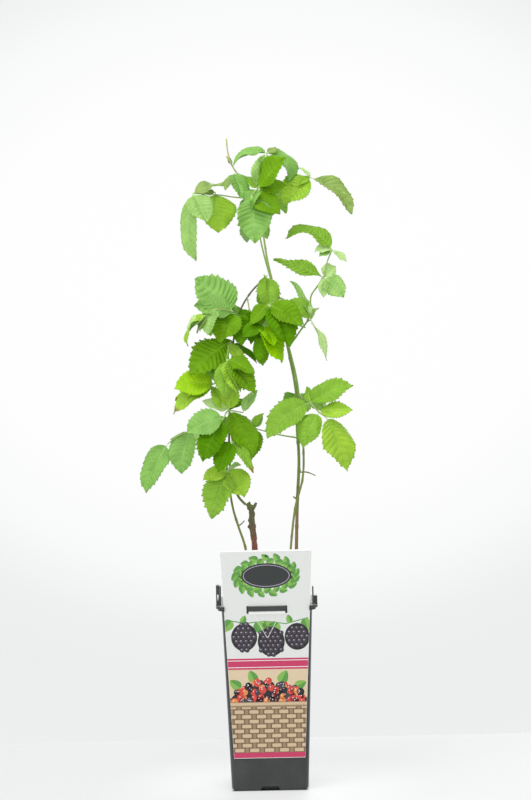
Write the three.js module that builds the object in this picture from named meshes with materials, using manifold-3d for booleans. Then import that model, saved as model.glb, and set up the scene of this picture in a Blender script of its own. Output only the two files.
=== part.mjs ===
// A thornless boysenberry in its tall square nursery pot, with a picture card hooked on the front.
// Millimetres, +Z up. The origin is the centre of the pot's flat underside, and the front is -Y.
// Every limb, leaf spray, the pot, the soil and the card is one closed solid in its own mesh.

import * as THREE from "three";
import { mergeVertices } from "three/addons/utils/BufferGeometryUtils.js";
import Module from "manifold-3d";

const wasm = await Module();
wasm.setup();

// Driving dimensions of the pot
const BASE_SIDE = 83;
const RIM_SIDE = 98;
const POT_HEIGHT = 200.2;
const CORNER = 9;
const CORNER_STEPS = 4;
const WALL = 1.6;
const FLOOR = 2.2;
const FLANGE_HEIGHT = 5;
const FLANGE_STEP = 2.2;
const FLANGE_REACH = 6;
const HOOK_REACH = 3;
const HOOK_END = 45.5;
const TAB_WIDTH = 40;
const TAB_HEIGHT = 5.2;
const TAB_REACH = 3;
const DRAIN = { width: 21.6, top: 17.6, height: 5, depth: 9, hole: [12, 4] };
const LUG = { front: -38, back: -28, window: [1.5, 6.5], rib: 1.4 };

// Driving dimensions of the card and the soil
const CARD = { low: 36, high: 260.5, lowWidth: 76.6, highWidth: 98.6, thick: 0.6, corner: 1.5 };
const SLOT = { width: 44, height: 6.2, notch: 2.4, drop: 2.4 };
const SOIL_TOP = 188;

// Clearance between pieces that touch on the real plant
const GAP = 0.3;

// Sizes of leaves and leaf stalks
const BLADE_THICK = 1.3;
const BLADE_RINGS = [0, 0.07, 0.24, 0.48, 0.74, 1];
const BLADE_FOLD = 0.2;
const BLADE_START = 0.07;
const WIDTH_SHARE = 0.64;
const STALK = 0.85;
const STALK_TIP = 0.6;
const KNOT = 1.3;
const LEVEL_START = 0.4;

// A leaflet is left out if it shares more than TOUCH cubic millimetres with what is there. A stalk's start is
// moved TRIES times towards its limb, and the distance is looked for no farther than SEARCH
const TOUCH = 0.002;
const SEARCH = 5;
const TRIES = 3;

const radians = THREE.MathUtils.degToRad;
const at = (x, y, z) => new THREE.Vector3(x, y, z);
const UP = at(0, 0, 1);

// Colours and finishes

const finish = (color, roughness) => new THREE.MeshStandardMaterial({ color, roughness, metalness: 0 });
const PLASTIC = finish(0x3b3d3d, 0.42);
const PEAT = finish(0x2e2119, 0.95);
const CARDBOARD = finish(0xe9e9e4, 0.5);
const OLD_WOOD = finish(0x5c3630, 0.8);
const GREEN_WOOD = finish(0x7d8a48, 0.65);
const LEAF = finish(0x79b84a, 0.55);

// A number from -1 to 1 that always comes out the same for one seed

function shake(seed) {
  const value = Math.sin(seed * 12.9898) * 43758.5453;
  return 2 * (value - Math.floor(value)) - 1;
}

// Joining and cutting

function solid(geometry) {
  const bare = geometry.clone();
  bare.deleteAttribute("normal");
  bare.deleteAttribute("uv");
  const merged = mergeVertices(bare, 1e-5);
  return new wasm.Manifold(new wasm.Mesh({
    numProp: 3,
    vertProperties: Float32Array.from(merged.attributes.position.array),
    triVerts: Uint32Array.from(merged.index.array),
  }));
}

function fuse(solids) {
  return solids.reduce((sum, next) => sum.add(next));
}

// Only the largest body is kept: its sealed hollows are filled and loose scraps go
function oneBody(shape) {
  const bodies = shape.decompose();
  return bodies.reduce((best, next) => (next.volume() > best.volume() ? next : best));
}

function mesh(name, shape, material) {
  const result = shape.getMesh();
  const geometry = new THREE.BufferGeometry();
  geometry.setAttribute("position", new THREE.BufferAttribute(result.vertProperties, 3));
  geometry.setIndex(new THREE.BufferAttribute(result.triVerts, 1));
  geometry.computeVertexNormals();
  const piece = new THREE.Mesh(geometry, material);
  piece.name = name;
  return piece;
}

function box([x0, x1], [y0, y1], [z0, z1]) {
  const block = new THREE.BoxGeometry(x1 - x0, y1 - y0, z1 - z0);
  return solid(block.translate((x0 + x1) / 2, (y0 + y1) / 2, (z0 + z1) / 2));
}

// The pot

const sideAt = (z) => BASE_SIDE + (RIM_SIDE - BASE_SIDE) * z / POT_HEIGHT;

// A square block with round corners whose sides follow the pot's taper, inset or outset all round
function taperedBlock(bottom, top, outset) {
  const half = sideAt(bottom) / 2 + outset;
  const corner = CORNER + outset;
  const shape = new THREE.Shape();
  [0, 1, 2, 3].forEach((quarter) => {
    const turn = quarter * Math.PI / 2;
    const [x, y] = [[1, 1], [-1, 1], [-1, -1], [1, -1]][quarter].map((s) => s * (half - corner));
    shape.absarc(x, y, corner, turn, turn + Math.PI / 2);
  });
  const depth = top - bottom;
  const form = { depth, bevelEnabled: false, curveSegments: CORNER_STEPS };
  const block = new THREE.ExtrudeGeometry(shape, form);
  const widen = (sideAt(top) / 2 + outset) / half - 1;
  const points = block.attributes.position;
  for (let i = 0; i < points.count; i += 1) {
    const scale = 1 + widen * points.getZ(i) / depth;
    points.setXYZ(i, points.getX(i) * scale, points.getY(i) * scale, points.getZ(i) + bottom);
  }
  return solid(block);
}

// Four recesses with slanting sides let water out under the edges; grown makes the wall around them
function drainRecesses(grown) {
  const half = BASE_SIDE / 2;
  const slant = (DRAIN.width - DRAIN.top) / 2 / DRAIN.height;
  const [low, high] = [-1, DRAIN.height + grown];
  const widthAt = (z) => DRAIN.width / 2 - slant * z + grown;
  const arch = new THREE.Shape();
  arch.moveTo(-widthAt(low), low);
  arch.lineTo(widthAt(low), low);
  arch.lineTo(widthAt(high), high);
  arch.lineTo(-widthAt(high), high);
  const block = new THREE.ExtrudeGeometry(arch, { depth: DRAIN.depth + 2 + grown, bevelEnabled: false });
  block.rotateX(Math.PI / 2);
  block.translate(0, -half + DRAIN.depth + grown, 0);
  const recess = solid(block);
  return fuse([0, 90, 180, 270].map((turn) => recess.rotate([0, 0, turn])));
}

function drainHoles() {
  const [width, depth] = DRAIN.hole;
  const middle = -BASE_SIDE / 2 + DRAIN.depth / 2 + 1;
  const span = [middle - depth / 2, middle + depth / 2];
  const hole = box([-width / 2, width / 2], span, [DRAIN.height - 1, DRAIN.height + WALL + 1]);
  return fuse([0, 90, 180, 270].map((turn) => hole.rotate([0, 0, turn])));
}

// The flange runs along both sides and turns round each corner as a hook over the card's edge
function flange() {
  const low = POT_HEIGHT - FLANGE_HEIGHT;
  const half = RIM_SIDE / 2;
  const step = taperedBlock(low, low + FLANGE_STEP + 0.01, FLANGE_REACH - 2);
  const lip = taperedBlock(low + FLANGE_STEP, POT_HEIGHT, FLANGE_REACH);
  const far = half + 20;
  const outside = half + HOOK_REACH;
  const gap = [[-far, -outside], [outside, far]].map((y) => box([-far, far], y, [low - 1, POT_HEIGHT + 1]));
  const face = half - WALL / 2;
  const width = [-HOOK_END, HOOK_END];
  const open = [[-far, -face], [face, far]].map((y) => box(width, y, [low - 1, POT_HEIGHT + 1]));
  const pocket = [-half - 1.3, -half + GAP + 0.05];
  const slot = box([-HOOK_END - 3.2, HOOK_END + 3.2], pocket, [low - 1, POT_HEIGHT + 1]);
  return step.add(lip).subtract(fuse([...gap, ...open, slot]));
}

// The tab in the middle of the front and back holds the card by its slot
function tabs() {
  const half = RIM_SIDE / 2;
  const reach = [-half - TAB_REACH, -half + WALL];
  const tab = box([-TAB_WIDTH / 2, TAB_WIDTH / 2], reach, [POT_HEIGHT - TAB_HEIGHT, POT_HEIGHT]);
  return tab.add(tab.rotate([0, 0, 180]));
}

// A slotted post with a thin rib inside it, standing on the flange
function lug(side, postTop, ribTop) {
  const outer = RIM_SIDE / 2 + FLANGE_REACH - 0.4;
  const inner = outer - 3.6;
  const foot = POT_HEIGHT - 1;
  const across = (a, b) => (side > 0 ? [a, b] : [-b, -a]);
  const depth = [LUG.front, LUG.back];
  const post = box(across(inner, outer), depth, [foot, postTop]);
  const rib = box(across(inner - GAP - LUG.rib, inner - GAP), depth, [foot, ribTop]);
  const [gapWidth, gapHeight] = LUG.window;
  const middle = (inner + outer) / 2;
  const sill = postTop - 10 - gapHeight;
  const hole = across(middle - gapWidth / 2, middle + gapWidth / 2);
  const window = box(hole, [LUG.front - 1, LUG.back + 1], [sill, sill + gapHeight]);
  return (postTop - POT_HEIGHT > 15 ? post.subtract(window) : post).add(rib);
}

function pot() {
  const shell = taperedBlock(0, POT_HEIGHT, 0);
  const inside = taperedBlock(FLOOR, POT_HEIGHT + 1, -WALL);
  const lining = drainRecesses(WALL).intersect(shell);
  const rim = flange().add(tabs()).subtract(taperedBlock(POT_HEIGHT - 20, POT_HEIGHT + 1, -WALL));
  const body = shell.subtract(inside).add(lining).add(rim);
  const hollow = body.subtract(drainRecesses(0)).subtract(drainHoles());
  return oneBody(fuse([hollow, lug(-1, 222, 221), lug(1, 209, 219)]));
}

// The soil fills the pot to just below the rim
function soil() {
  const fill = taperedBlock(FLOOR + GAP, SOIL_TOP, -WALL - GAP);
  return oneBody(fill.subtract(drainRecesses(WALL + GAP)));
}

// The card leans with the pot's front wall, and its slot is hooked over the front tab
function card() {
  const lean = Math.atan((RIM_SIDE - BASE_SIDE) / 2 / POT_HEIGHT);
  const tall = (CARD.high - CARD.low) / Math.cos(lean);
  const shape = new THREE.Shape();
  shape.moveTo(-CARD.lowWidth / 2, 0);
  shape.lineTo(CARD.lowWidth / 2, 0);
  shape.lineTo(CARD.highWidth / 2, tall - CARD.corner);
  shape.lineTo(CARD.highWidth / 2 - CARD.corner, tall);
  shape.lineTo(-CARD.highWidth / 2 + CARD.corner, tall);
  shape.lineTo(-CARD.highWidth / 2, tall - CARD.corner);
  const middle = (POT_HEIGHT - TAB_HEIGHT / 2 - CARD.low) / Math.cos(lean);
  const [half, top, low] = [SLOT.width / 2, middle + SLOT.height / 2, middle - SLOT.height / 2];
  const hole = new THREE.Path();
  hole.moveTo(-half, top);
  hole.lineTo(half, top);
  hole.lineTo(half, low - SLOT.drop);
  hole.lineTo(half - SLOT.notch, low - SLOT.drop);
  hole.lineTo(half - SLOT.notch, low);
  hole.lineTo(-half + SLOT.notch, low);
  hole.lineTo(-half + SLOT.notch, low - SLOT.drop);
  hole.lineTo(-half, low - SLOT.drop);
  shape.holes.push(hole);
  const sheet = new THREE.ExtrudeGeometry(shape, { depth: CARD.thick, bevelEnabled: false });
  sheet.rotateX(Math.PI / 2 + lean);
  sheet.translate(0, -sideAt(CARD.low) / 2 - GAP, CARD.low);
  return solid(sheet);
}

// Limbs

// A cylinder bent onto a curve, with its radius given along it; flat ends stay square to the curve
function tube(points, radiusAt, sides, steps) {
  const curve = new THREE.CatmullRomCurve3(points, false, "centripetal");
  const frames = curve.computeFrenetFrames(steps, false);
  const rod = new THREE.CylinderGeometry(1, 1, 1, sides, steps);
  const place = rod.attributes.position;
  for (let i = 0; i < place.count; i += 1) {
    const share = place.getY(i) + 0.5;
    const ring = Math.round(share * steps);
    const radius = radiusAt(share);
    const point = curve.getPointAt(share);
    point.addScaledVector(frames.binormals[ring], place.getX(i) * radius);
    point.addScaledVector(frames.normals[ring], place.getZ(i) * radius);
    place.setXYZ(i, point.x, point.y, point.z);
  }
  return solid(rod);
}

const taper = (from, to) => (share) => from + (to - from) * share;

// A stem that stands on the soil swells a little over its first centimetres, where its roots begin
const flared = (from, to) => (share) => taper(from, to)(share) * (1 + 0.35 * Math.exp(-share * 30));

// The old stem swells at its foot and again where it was cut back
function gnarled(share) {
  return 2.7 + 0.6 * Math.exp(-share * 25) + 0.9 * Math.sin(Math.PI * share ** 3) - 0.5 * share ** 6;
}

// Each limb has its root, the places that it passes and its tip, and the radius at both ends
const limbs = {
  right_stem: {
    route: [[32, 6, SOIL_TOP + GAP], [34, 5, 260], [36, 4, 310], [38.5, 2, 355], [37, 2, 395], [37, 2, 428],
      [29, 3, 476], [20, 3, 520], [8, 2, 575], [2, 1, 615], [-9, -1, 650], [-28, -3, 678], [-33, -4, 693],
      [-34.5, -5, 709]],
    radius: flared(2.0, 0.8), sides: 6, steps: 26, wood: GREEN_WOOD,
    stubs: [[[37.7, 2.6, 341], [47, -4, 341], [56, -8, 337.5], 0.8],
      [[36, 4, 312], [33, -1, 313], [31.5, -3, 314.5], 1.1],
      [[-28, -3, 678], [-31, -6, 683], [-35, -8, 689.5], 0.9]],
  },
  right_thin_stem: {
    route: [[22, -10, SOIL_TOP + GAP], [27.5, -9, 259], [33.5, -6, 303], [42, -7, 335], [43.5, -7, 365],
      [41, -7, 400], [38, -7, 440], [27, -6, 490], [15, -6, 540], [4, -8, 582], [-2, -9, 612]],
    radius: flared(1.3, 0.9), sides: 5, steps: 20, wood: GREEN_WOOD, stubs: [],
  },
  left_thin_stem: {
    route: [[-17, -12, SOIL_TOP + GAP], [-22, -13, 259], [-29.5, -13, 284], [-35, -13, 304], [-40, -10, 340],
      [-44, -8, 380], [-47, -8, 398]],
    radius: flared(1.4, 1.0), sides: 5, steps: 12, wood: GREEN_WOOD,
    stubs: [[[-29.5, -13, 284], [-26, -15, 286.5], [-22.5, -16, 290], 0.8]],
  },
  old_stem: {
    route: [[-9, 2, SOIL_TOP + GAP], [-12, 1, 258], [-14.5, 0, 285], [-15.5, 0, 301], [-19.5, -1, 308]],
    radius: gnarled,
    sides: 8, steps: 14, wood: OLD_WOOD,
    stubs: [[[-15.5, 0, 298], [-12.5, -1, 303], [-9.5, -2, 308.5], 2.0]],
  },
  left_shoot: {
    route: [[-21.7, -1.2, 307], [-29, -3, 316], [-36, 0, 335], [-38, 4, 370], [-37, 3, 410], [-34, 2, 450],
      [-31, 0, 487], [-25, -1, 515], [-13, -3, 537], [4, -6, 555]],
    radius: taper(1.4, 0.9), sides: 5, steps: 18, wood: GREEN_WOOD, stubs: [],
  },
  upper_right_shoot: {
    route: [[30.4, 2.5, 480], [43, -3, 497], [51, -6, 508], [54, -8, 521], [55, -9, 534], [61, -10, 543],
      [66, -10, 549]],
    radius: taper(1.0, 0.8), sides: 5, steps: 10, wood: GREEN_WOOD, stubs: [],
  },
};

function limb({ route, radius, sides, steps, stubs }) {
  const stem = tube(route.map((p) => at(...p)), radius, sides, steps);
  const cut = stubs.map(([from, via, to, thick]) => (
    tube([from, via, to].map((p) => at(...p)), taper(thick, thick * 0.7), 5, 3)));
  return fuse([stem, ...cut]);
}

// The point of a limb at one height and its radius there
function limbAt(name, height) {
  const { route, radius } = limbs[name];
  const curve = new THREE.CatmullRomCurve3(route.map((p) => at(...p)), false, "centripetal");
  const steps = 400;
  const shares = Array.from({ length: steps + 1 }, (_, i) => i / steps);
  const miss = (share) => Math.abs(curve.getPointAt(share).z - height);
  const share = shares.reduce((best, next) => (miss(next) < miss(best) ? next : best));
  return { point: curve.getPointAt(share), radius: radius(share), tip: share === 1 };
}

// Leaves

// A leaflet's midrib bends evenly towards the ground in the upright plane of its heading.
// heading: 0 right, 90 back, 180 left, -90 front; rise: slope from root to tip; bend: how far it arches;
// face: how far the upper side is rolled towards the front; all in degrees
function midrib(root, [heading, rise, length, bend, face]) {
  const out = at(Math.cos(radians(heading)), Math.sin(radians(heading)), 0);
  const curl = Math.max(radians(bend), 0.01);
  const chord = length * Math.sin(curl / 2) / (curl / 2);
  const turned = Math.cos(radians(heading)) > 0 ? -1 : 1;
  const forward = at(-out.y, out.x, 0).multiplyScalar(turned);
  return (share) => {
    const start = radians(rise) + curl / 2;
    const slope = start - curl * share;
    const radius = chord / 2 / Math.sin(curl / 2);
    const along = radius * (Math.sin(start) - Math.sin(slope));
    const lift = radius * (Math.cos(slope) - Math.cos(start));
    const point = root.clone().addScaledVector(out, along).addScaledVector(UP, lift);
    const ahead = out.clone().multiplyScalar(Math.cos(slope)).addScaledVector(UP, Math.sin(slope));
    const above = out.clone().multiplyScalar(-Math.sin(slope)).addScaledVector(UP, Math.cos(slope));
    const normal = above.multiplyScalar(Math.cos(radians(face)));
    normal.addScaledVector(forward, Math.sin(radians(face)));
    return { point, ahead, normal, side: ahead.clone().cross(normal) };
  };
}

// Half the width of a leaflet along its midrib: a short stalk, broad soon after, drawn out at the tip
function outline(share) {
  const along = Math.max((share - BLADE_START) / (1 - BLADE_START), 0);
  return Math.sin(Math.PI * along ** 0.76) ** 0.66 * (1 - 0.1 * along);
}

function blade(hub, leaflet, seed) {
  const rib = midrib(hub, leaflet);
  const half = leaflet[2] * (leaflet[5] ?? WIDTH_SHARE) * (1 + 0.06 * shake(seed)) / 2;
  const steps = BLADE_RINGS.length - 1;
  const rod = new THREE.CylinderGeometry(1, 1, 1, 4, steps);
  const place = rod.attributes.position;
  for (let i = 0; i < place.count; i += 1) {
    const share = BLADE_RINGS[Math.round((place.getY(i) + 0.5) * steps)];
    const { point, normal, side } = rib(share);
    const across = place.getX(i) * Math.max(half * outline(share), STALK_TIP);
    const thick = place.getZ(i) * BLADE_THICK / 2 * (0.6 + 0.4 * outline(share));
    point.addScaledVector(side, across);
    point.addScaledVector(normal, thick + Math.abs(across) * BLADE_FOLD);
    place.setXYZ(i, point.x, point.y, point.z);
  }
  return solid(rod);
}

// One compound leaf: its stalk from where it starts to where its leaflets meet, and the leaflets
function stalkOf(start, { through = [], junction }) {
  const route = [start, ...[...through, junction].map((p) => at(...p))];
  return tube(route, taper(STALK, STALK_TIP), 3, 2 * route.length - 1);
}

function leaf(start, row, others, seed) {
  const { junction, leaflets } = row;
  const hub = at(...junction);
  const knot = solid(new THREE.OctahedronGeometry(KNOT).translate(hub.x, hub.y, hub.z));
  const blades = leaflets.map((leaflet, i) => blade(hub, leaflet, seed + i));
  const touches = (shape) => others.some((other) => shape.intersect(other).volume() > TOUCH);
  return [stalkOf(start, row), knot, ...blades.filter((shape) => !touches(shape))];
}

// The leaflets of a leaf that spreads evenly: one at the end and a pair or two pairs behind it
function fan(heading, rise, length, count, seed) {
  const spread = [[0, 0, 1], [66, 8, 0.82], [-66, 8, 0.82], [122, 16, 0.62], [-122, 16, 0.62]];
  return spread.slice(0, count).map(([turn, drop, share], i) => [
    heading + turn + 9 * shake(seed + i),
    rise - drop + 8 * shake(seed + i + 7),
    length * share * (1 + 0.1 * shake(seed + i + 13)),
    32 + 12 * shake(seed + i + 19),
    12 * shake(seed + i + 29)]);
}

// Where the stalks of a spray leave their limb, and its leaves; a later leaf may start part of the way
// along the first stalk. Rows of leaflets: heading, rise, length, bend, face, and the width's share
const sprays = {
  crown_tip: { limb: "right_stem", height: 640, leaves: [
    { junction: [-1, -26, 651], leaflets: [[50, 72, 40, 12, 62, 0.56], [-25, 43, 46, 12, 62, 0.74],
      [-140, -62, 34, 20, 10, 0.7], [6, 6, 31, 15, 60, 0.66]] },
    { from: 0, junction: [-8, -33, 642], leaflets: [[-12, -33, 38, 15, 50, 0.74],
      [-76, -76, 54, 20, 0, 0.68]] },
    { from: 0, through: [[7, -25, 668]], junction: [10, -13, 691], leaflets: [[180, -17, 42, 62, 34, 0.48],
      [15, 24, 13, 20, 40, 0.85], [4, -56, 45, 100, 40, 0.72]] }] },
  crown_small: { limb: "right_stem", height: 667, leaves: [
    { junction: [-27, -13, 669], leaflets: [[-60, -58, 34, 15, 0, 0.8], [-155, -60, 21, 20, 20]] }] },
  crown_left: { limb: "right_stem", height: 645, leaves: [
    { through: [[-22, 5, 645], [-45, 1, 648]], junction: [-72, -10, 649],
      leaflets: [[190, -91, 76, 38, 40, 0.32],
      [-40, -60, 39, 12, 35, 0.82], [22, 17, 42, 25, 30, 0.46]] },
    { from: 0, junction: [-48, 3, 651], leaflets: [[-70, -80, 46, 18, 0, 0.94]] }] },
  crown_right: { limb: "right_stem", height: 613, leaves: [
    { through: [[17, 6, 628], [28, 6, 647], [47, 0, 661]], junction: [57, -6, 664], leaflets: [
      [-12, -42, 64, 54, 40, 0.34], [170, 45, 17, 20, 30, 0.4], [192, -44, 43, 18, 50, 0.78],
      [186, -22, 24, 10, 50, 0.5]] }] },
  upper_right: { limb: "upper_right_shoot", height: 549, leaves: [
    { junction: [69.5, -12, 554], leaflets: [[177, 21, 59, 10, 60, 0.3], [30, 42, 20, 20, 60, 0.8],
      [-20, -46, 32, 20, 55, 0.76], [-100, -75, 23, 15, 0, 0.52]] },
    { from: 0, through: [[73, -11, 570]], junction: [79, -10, 584], leaflets: [[180, 16, 61, 98, 38, 0.33],
      [190, -4, 20, 40, 40, 0.76], [-15, -40, 21, 20, 30, 0.5]] }] },
  right_middle: { limb: "upper_right_shoot", height: 506, leaves: [
    { junction: [54, -14, 508], leaflets: [[158, 62, 50, 35, 30, 0.2], [195, 36, 34, 50, 62, 0.62],
      [-25, -68, 49, 20, 20, 0.25], [10, 55, 17, 60, 25, 0.5]] }] },
  centre_upper: { limb: "left_shoot", height: 555, leaves: [
    { junction: [6.5, -14, 557], leaflets: [[-72, -74, 44, 25, 10, 0.56],
      [-155, -80, 37, 15, 10, 0.42]] }] },
  centre: { limb: "right_thin_stem", height: 532, leaves: [
    { through: [[25, -18, 531], [19, -34, 528]], junction: [8, -42, 524],
      leaflets: [[-22, -33, 46, 22, 56, 0.54],
      [-34, -60, 54, 20, 35, 0.62], [188, -48, 30, 20, 40]] },
    { from: 0, through: [[6, -46, 514]], junction: [3, -42, 502], leaflets: [[-35, -62, 47, 15, 15, 0.6],
      [-58, -50, 30, 15, 10, 0.7], [160, 58, 22, 10, 60], [-130, -76, 43, 12, 0, 0.42],
      [192, -28, 27, 20, 45, 0.8]] }] },
  inner: { limb: "left_shoot", height: 534, leaves: [
    { junction: [-13, -13, 521], leaflets: [[-80, -76, 40, 15, 0, 0.52], [-165, -52, 24, 15, 40, 0.6]] },
    { from: 0, through: [[-4, -16, 506]], junction: [-3, -17, 484],
      leaflets: [[-70, -66, 28, 15, 20, 0.6]] }] },
  left_upper: { limb: "left_shoot", height: 510, leaves: [
    { junction: [-30, -26, 517], leaflets: [[166, 42, 58, 15, 58, 0.76], [193, 10, 44, 15, 58, 0.62],
      [-132, -56, 40, 20, 20, 0.86], [-58, -64, 40, 15, 20, 0.66]] },
    { from: 0, through: [[-40, -34, 520]], junction: [-50, -38, 520],
      leaflets: [[-125, -64, 31, 20, 0, 0.78]] },
    { from: 1, junction: [-58, -38, 514], leaflets: [[183, -56, 46, 100, 24, 0.32],
      [178, -38, 28, 30, 30, 0.6]] }] },
  left_middle: { limb: "left_shoot", height: 478, leaves: [
    { junction: [-34, -28, 485], leaflets: [[194, -37, 58, 20, 58, 0.64], [-45, -62, 27, 15, 0, 0.76]] },
    { from: 0, through: [[-36, -40, 478]], junction: [-38, -46, 466],
      leaflets: [[-100, -76, 44, 15, 0, 0.55],
      [-55, -65, 41, 10, 10, 0.5], [-32, -64, 40, 15, 20, 0.5], [-22, -28, 36, 20, 40, 0.62],
      [-14, -50, 48, 12, 50, 0.54]] }] },
  left_side: { limb: "left_shoot", height: 446, leaves: [
    { junction: [-52, -24, 440], leaflets: [[188, -33, 56, 20, 40, 0.38], [190, -5, 45, 25, 52, 0.76],
      [174, -22, 48, 40, 45, 0.5]] }] },
  left_lower: { limb: "left_shoot", height: 405, leaves: [
    { junction: [-37, -30, 411], leaflets: [[158, 52, 34, 15, 50, 0.62], [60, 74, 36, 10, 40, 0.6],
      [180, 20, 31, 20, 60, 0.42], [-34, -61, 62, 25, 25, 0.52]] },
    { from: 0, junction: [-22, -27, 408], leaflets: [[20, 55, 30, 15, 45, 0.42]] },
    { from: 0, through: [[-40, -42, 408]], junction: [-42, -50, 403],
      leaflets: [[192, -21, 44, 25, 58, 0.74],
      [-150, -60, 54, 20, 40, 0.54]] },
    { from: 0, through: [[-36, -40, 395]], junction: [-34, -50, 378],
      leaflets: [[-140, -60, 38, 15, 30, 0.66],
      [-22, -54, 42, 10, 30, 0.3]] }] },
  crossing: { limb: "right_stem", height: 379, leaves: [
    { through: [[16, -3, 383], [2, -7, 387]], junction: [-12, -10, 391],
      leaflets: [[30, 44, 19, 20, 50, 0.6],
      [-88, -62, 36, 15, 0, 0.6], [170, -46, 34, 15, 40, 0.6]] }] },
  left_outer: { limb: "left_thin_stem", height: 398, leaves: [
    { through: [[-62, -8, 396]], junction: [-80, -16, 389], leaflets: [[-136, -73, 49, 25, 20, 0.66],
      [120, -40, 42, 30, 0]] },
    { from: 0, through: [[-93, -17, 384]], junction: [-104, -18, 376],
      leaflets: [[194, -63, 60, 20, 48, 0.45]] }] },
  left_foot: { limb: "left_thin_stem", height: 338, leaves: [
    { junction: [-39, -34, 346], leaflets: [[-148, -67, 56, 20, 20, 0.64], [195, -18, 30, 15, 60, 0.6],
      [-37, -53, 36, 15, 46, 0.86]] }] },
  right_lower: { limb: "right_stem", height: 424, leaves: [
    { through: [[45, 0, 422], [50, -16, 419]], junction: [51, -36, 417],
      leaflets: [[195, -37, 63, 42, 58, 0.48],
      [-5, 22, 51, 25, 58, 0.52], [110, 64, 20, 10, 50, 0.6]] },
    { from: 0, junction: [60, -42, 407], leaflets: [[-4, 3, 37, 15, 58, 0.54],
      [202, -63, 43, 15, 45, 0.68]] },
    { from: 1, junction: [67, -45, 402], leaflets: [[-22, -67, 64, 20, 26, 0.7]] }] },
  back_crown: { limb: "right_stem", height: 634, leaves: [
    { junction: [2, 30, 657], leaflets: fan(88, -34, 52, 5, 11) }] },
  back_shoulder: { limb: "right_stem", height: 604, leaves: [
    { junction: [-8, 38, 622], leaflets: [[95, -14, 46, 30, 5], [108, -42, 32, 25, 0],
      [52, -34, 33, 25, 0]] }] },
  back_upper: { limb: "left_shoot", height: 500, leaves: [
    { junction: [-38, 34, 531], leaflets: fan(118, -40, 52, 5, 31) }] },
  back_centre: { limb: "right_stem", height: 505, leaves: [
    { junction: [18, 42, 524], leaflets: fan(68, -30, 50, 5, 43) }] },
  back_middle: { limb: "left_shoot", height: 448, leaves: [
    { junction: [-42, 42, 470], leaflets: fan(100, -42, 54, 5, 57) }] },
  back_right: { limb: "right_stem", height: 405, leaves: [
    { junction: [44, 38, 428], leaflets: fan(58, -28, 48, 5, 61) }] },
  back_lower: { limb: "left_shoot", height: 385, leaves: [
    { junction: [-46, 36, 404], leaflets: fan(112, -36, 52, 5, 79) }] },
  back_foot: { limb: "left_thin_stem", height: 325, leaves: [
    { junction: [-44, 16, 344], leaflets: fan(100, -50, 42, 3, 83) }] },
};

// Where a spray's first stalk starts: it is drawn back until it is just clear of its limb
function stalkStart({ limb: name, height, leaves }, limbSolid) {
  const { point, radius } = limbAt(name, height);
  const [row] = leaves;
  const toward = at(...(row.through?.[0] ?? row.junction)).sub(point);
  toward.z *= LEVEL_START;
  toward.normalize();
  let clear = radius + GAP + STALK / 2;
  for (let tries = 0; tries < TRIES; tries += 1) {
    const start = point.clone().addScaledVector(toward, clear);
    clear -= stalkOf(start, row).minGap(limbSolid, SEARCH) - GAP;
  }
  return point.addScaledVector(toward, clear);
}

// A spray is one solid. A leaflet that would touch a limb or a spray made before it is left out
function spray(data, others, limbSolid, seed) {
  const { leaves } = data;
  const start = stalkStart(data, limbSolid);
  const parts = leaves.flatMap((row, i) => {
    const from = row.from === undefined ? start : at(...leaves[row.from].junction);
    return leaf(from, row, others, seed + 10 * i);
  });
  return oneBody(fuse(parts));
}

const limbSolids = Object.fromEntries(Object.entries(limbs).map(([name, data]) => [name, limb(data)]));
const made = Object.values(limbSolids);

const boysenberry = new THREE.Group();
boysenberry.add(mesh("pot", pot(), PLASTIC));
boysenberry.add(mesh("soil", soil(), PEAT));
boysenberry.add(mesh("card", card(), CARDBOARD));
Object.entries(limbSolids).forEach(([name, shape]) => boysenberry.add(mesh(name, shape, limbs[name].wood)));
Object.entries(sprays).forEach(([name, data], i) => {
  const shape = spray(data, made, limbSolids[data.limb], 100 * i);
  made.push(shape);
  boysenberry.add(mesh(name, shape, LEAF));
});

export default boysenberry;
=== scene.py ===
# %% [markdown]
# # A thornless boysenberry in a tall nursery pot
#
# The plant stands about 71 cm tall in a square, tapering pot with a picture card hooked on its front.
# The imported model gives the exact places of pot, card, stems and leaf sprays. This script dresses them:
# ribbed stems with bark, toothed and pleated leaflets on round stalks, moulded plastic, loose peat and a
# printed card. Everything is worked out in millimetres and becomes metres when a piece is finished.

# %% Start from the imported frame
import math

import bmesh
import bpy
from mathutils import Matrix, Vector, noise


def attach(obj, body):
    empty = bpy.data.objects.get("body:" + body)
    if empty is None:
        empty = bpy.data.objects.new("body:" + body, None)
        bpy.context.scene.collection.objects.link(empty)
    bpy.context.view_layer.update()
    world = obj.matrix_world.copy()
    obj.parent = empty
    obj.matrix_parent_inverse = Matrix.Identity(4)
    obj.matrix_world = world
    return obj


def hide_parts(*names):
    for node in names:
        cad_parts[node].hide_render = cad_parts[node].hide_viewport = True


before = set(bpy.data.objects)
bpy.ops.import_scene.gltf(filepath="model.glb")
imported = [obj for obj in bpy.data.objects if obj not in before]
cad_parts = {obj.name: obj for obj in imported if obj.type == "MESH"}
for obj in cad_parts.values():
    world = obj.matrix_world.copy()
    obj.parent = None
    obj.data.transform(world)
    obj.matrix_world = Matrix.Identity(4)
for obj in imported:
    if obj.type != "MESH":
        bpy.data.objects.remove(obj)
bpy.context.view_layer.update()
MM = 0.001

# %% [markdown]
# ## The camera
#
# The photograph was taken with a long lens from two metres away, level with the middle of the plant, and
# the camera was rolled by about one degree. A near camera with a short lens would frame the plant as well,
# but it would look down into the pot. These numbers give the photograph's own perspective.

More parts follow.
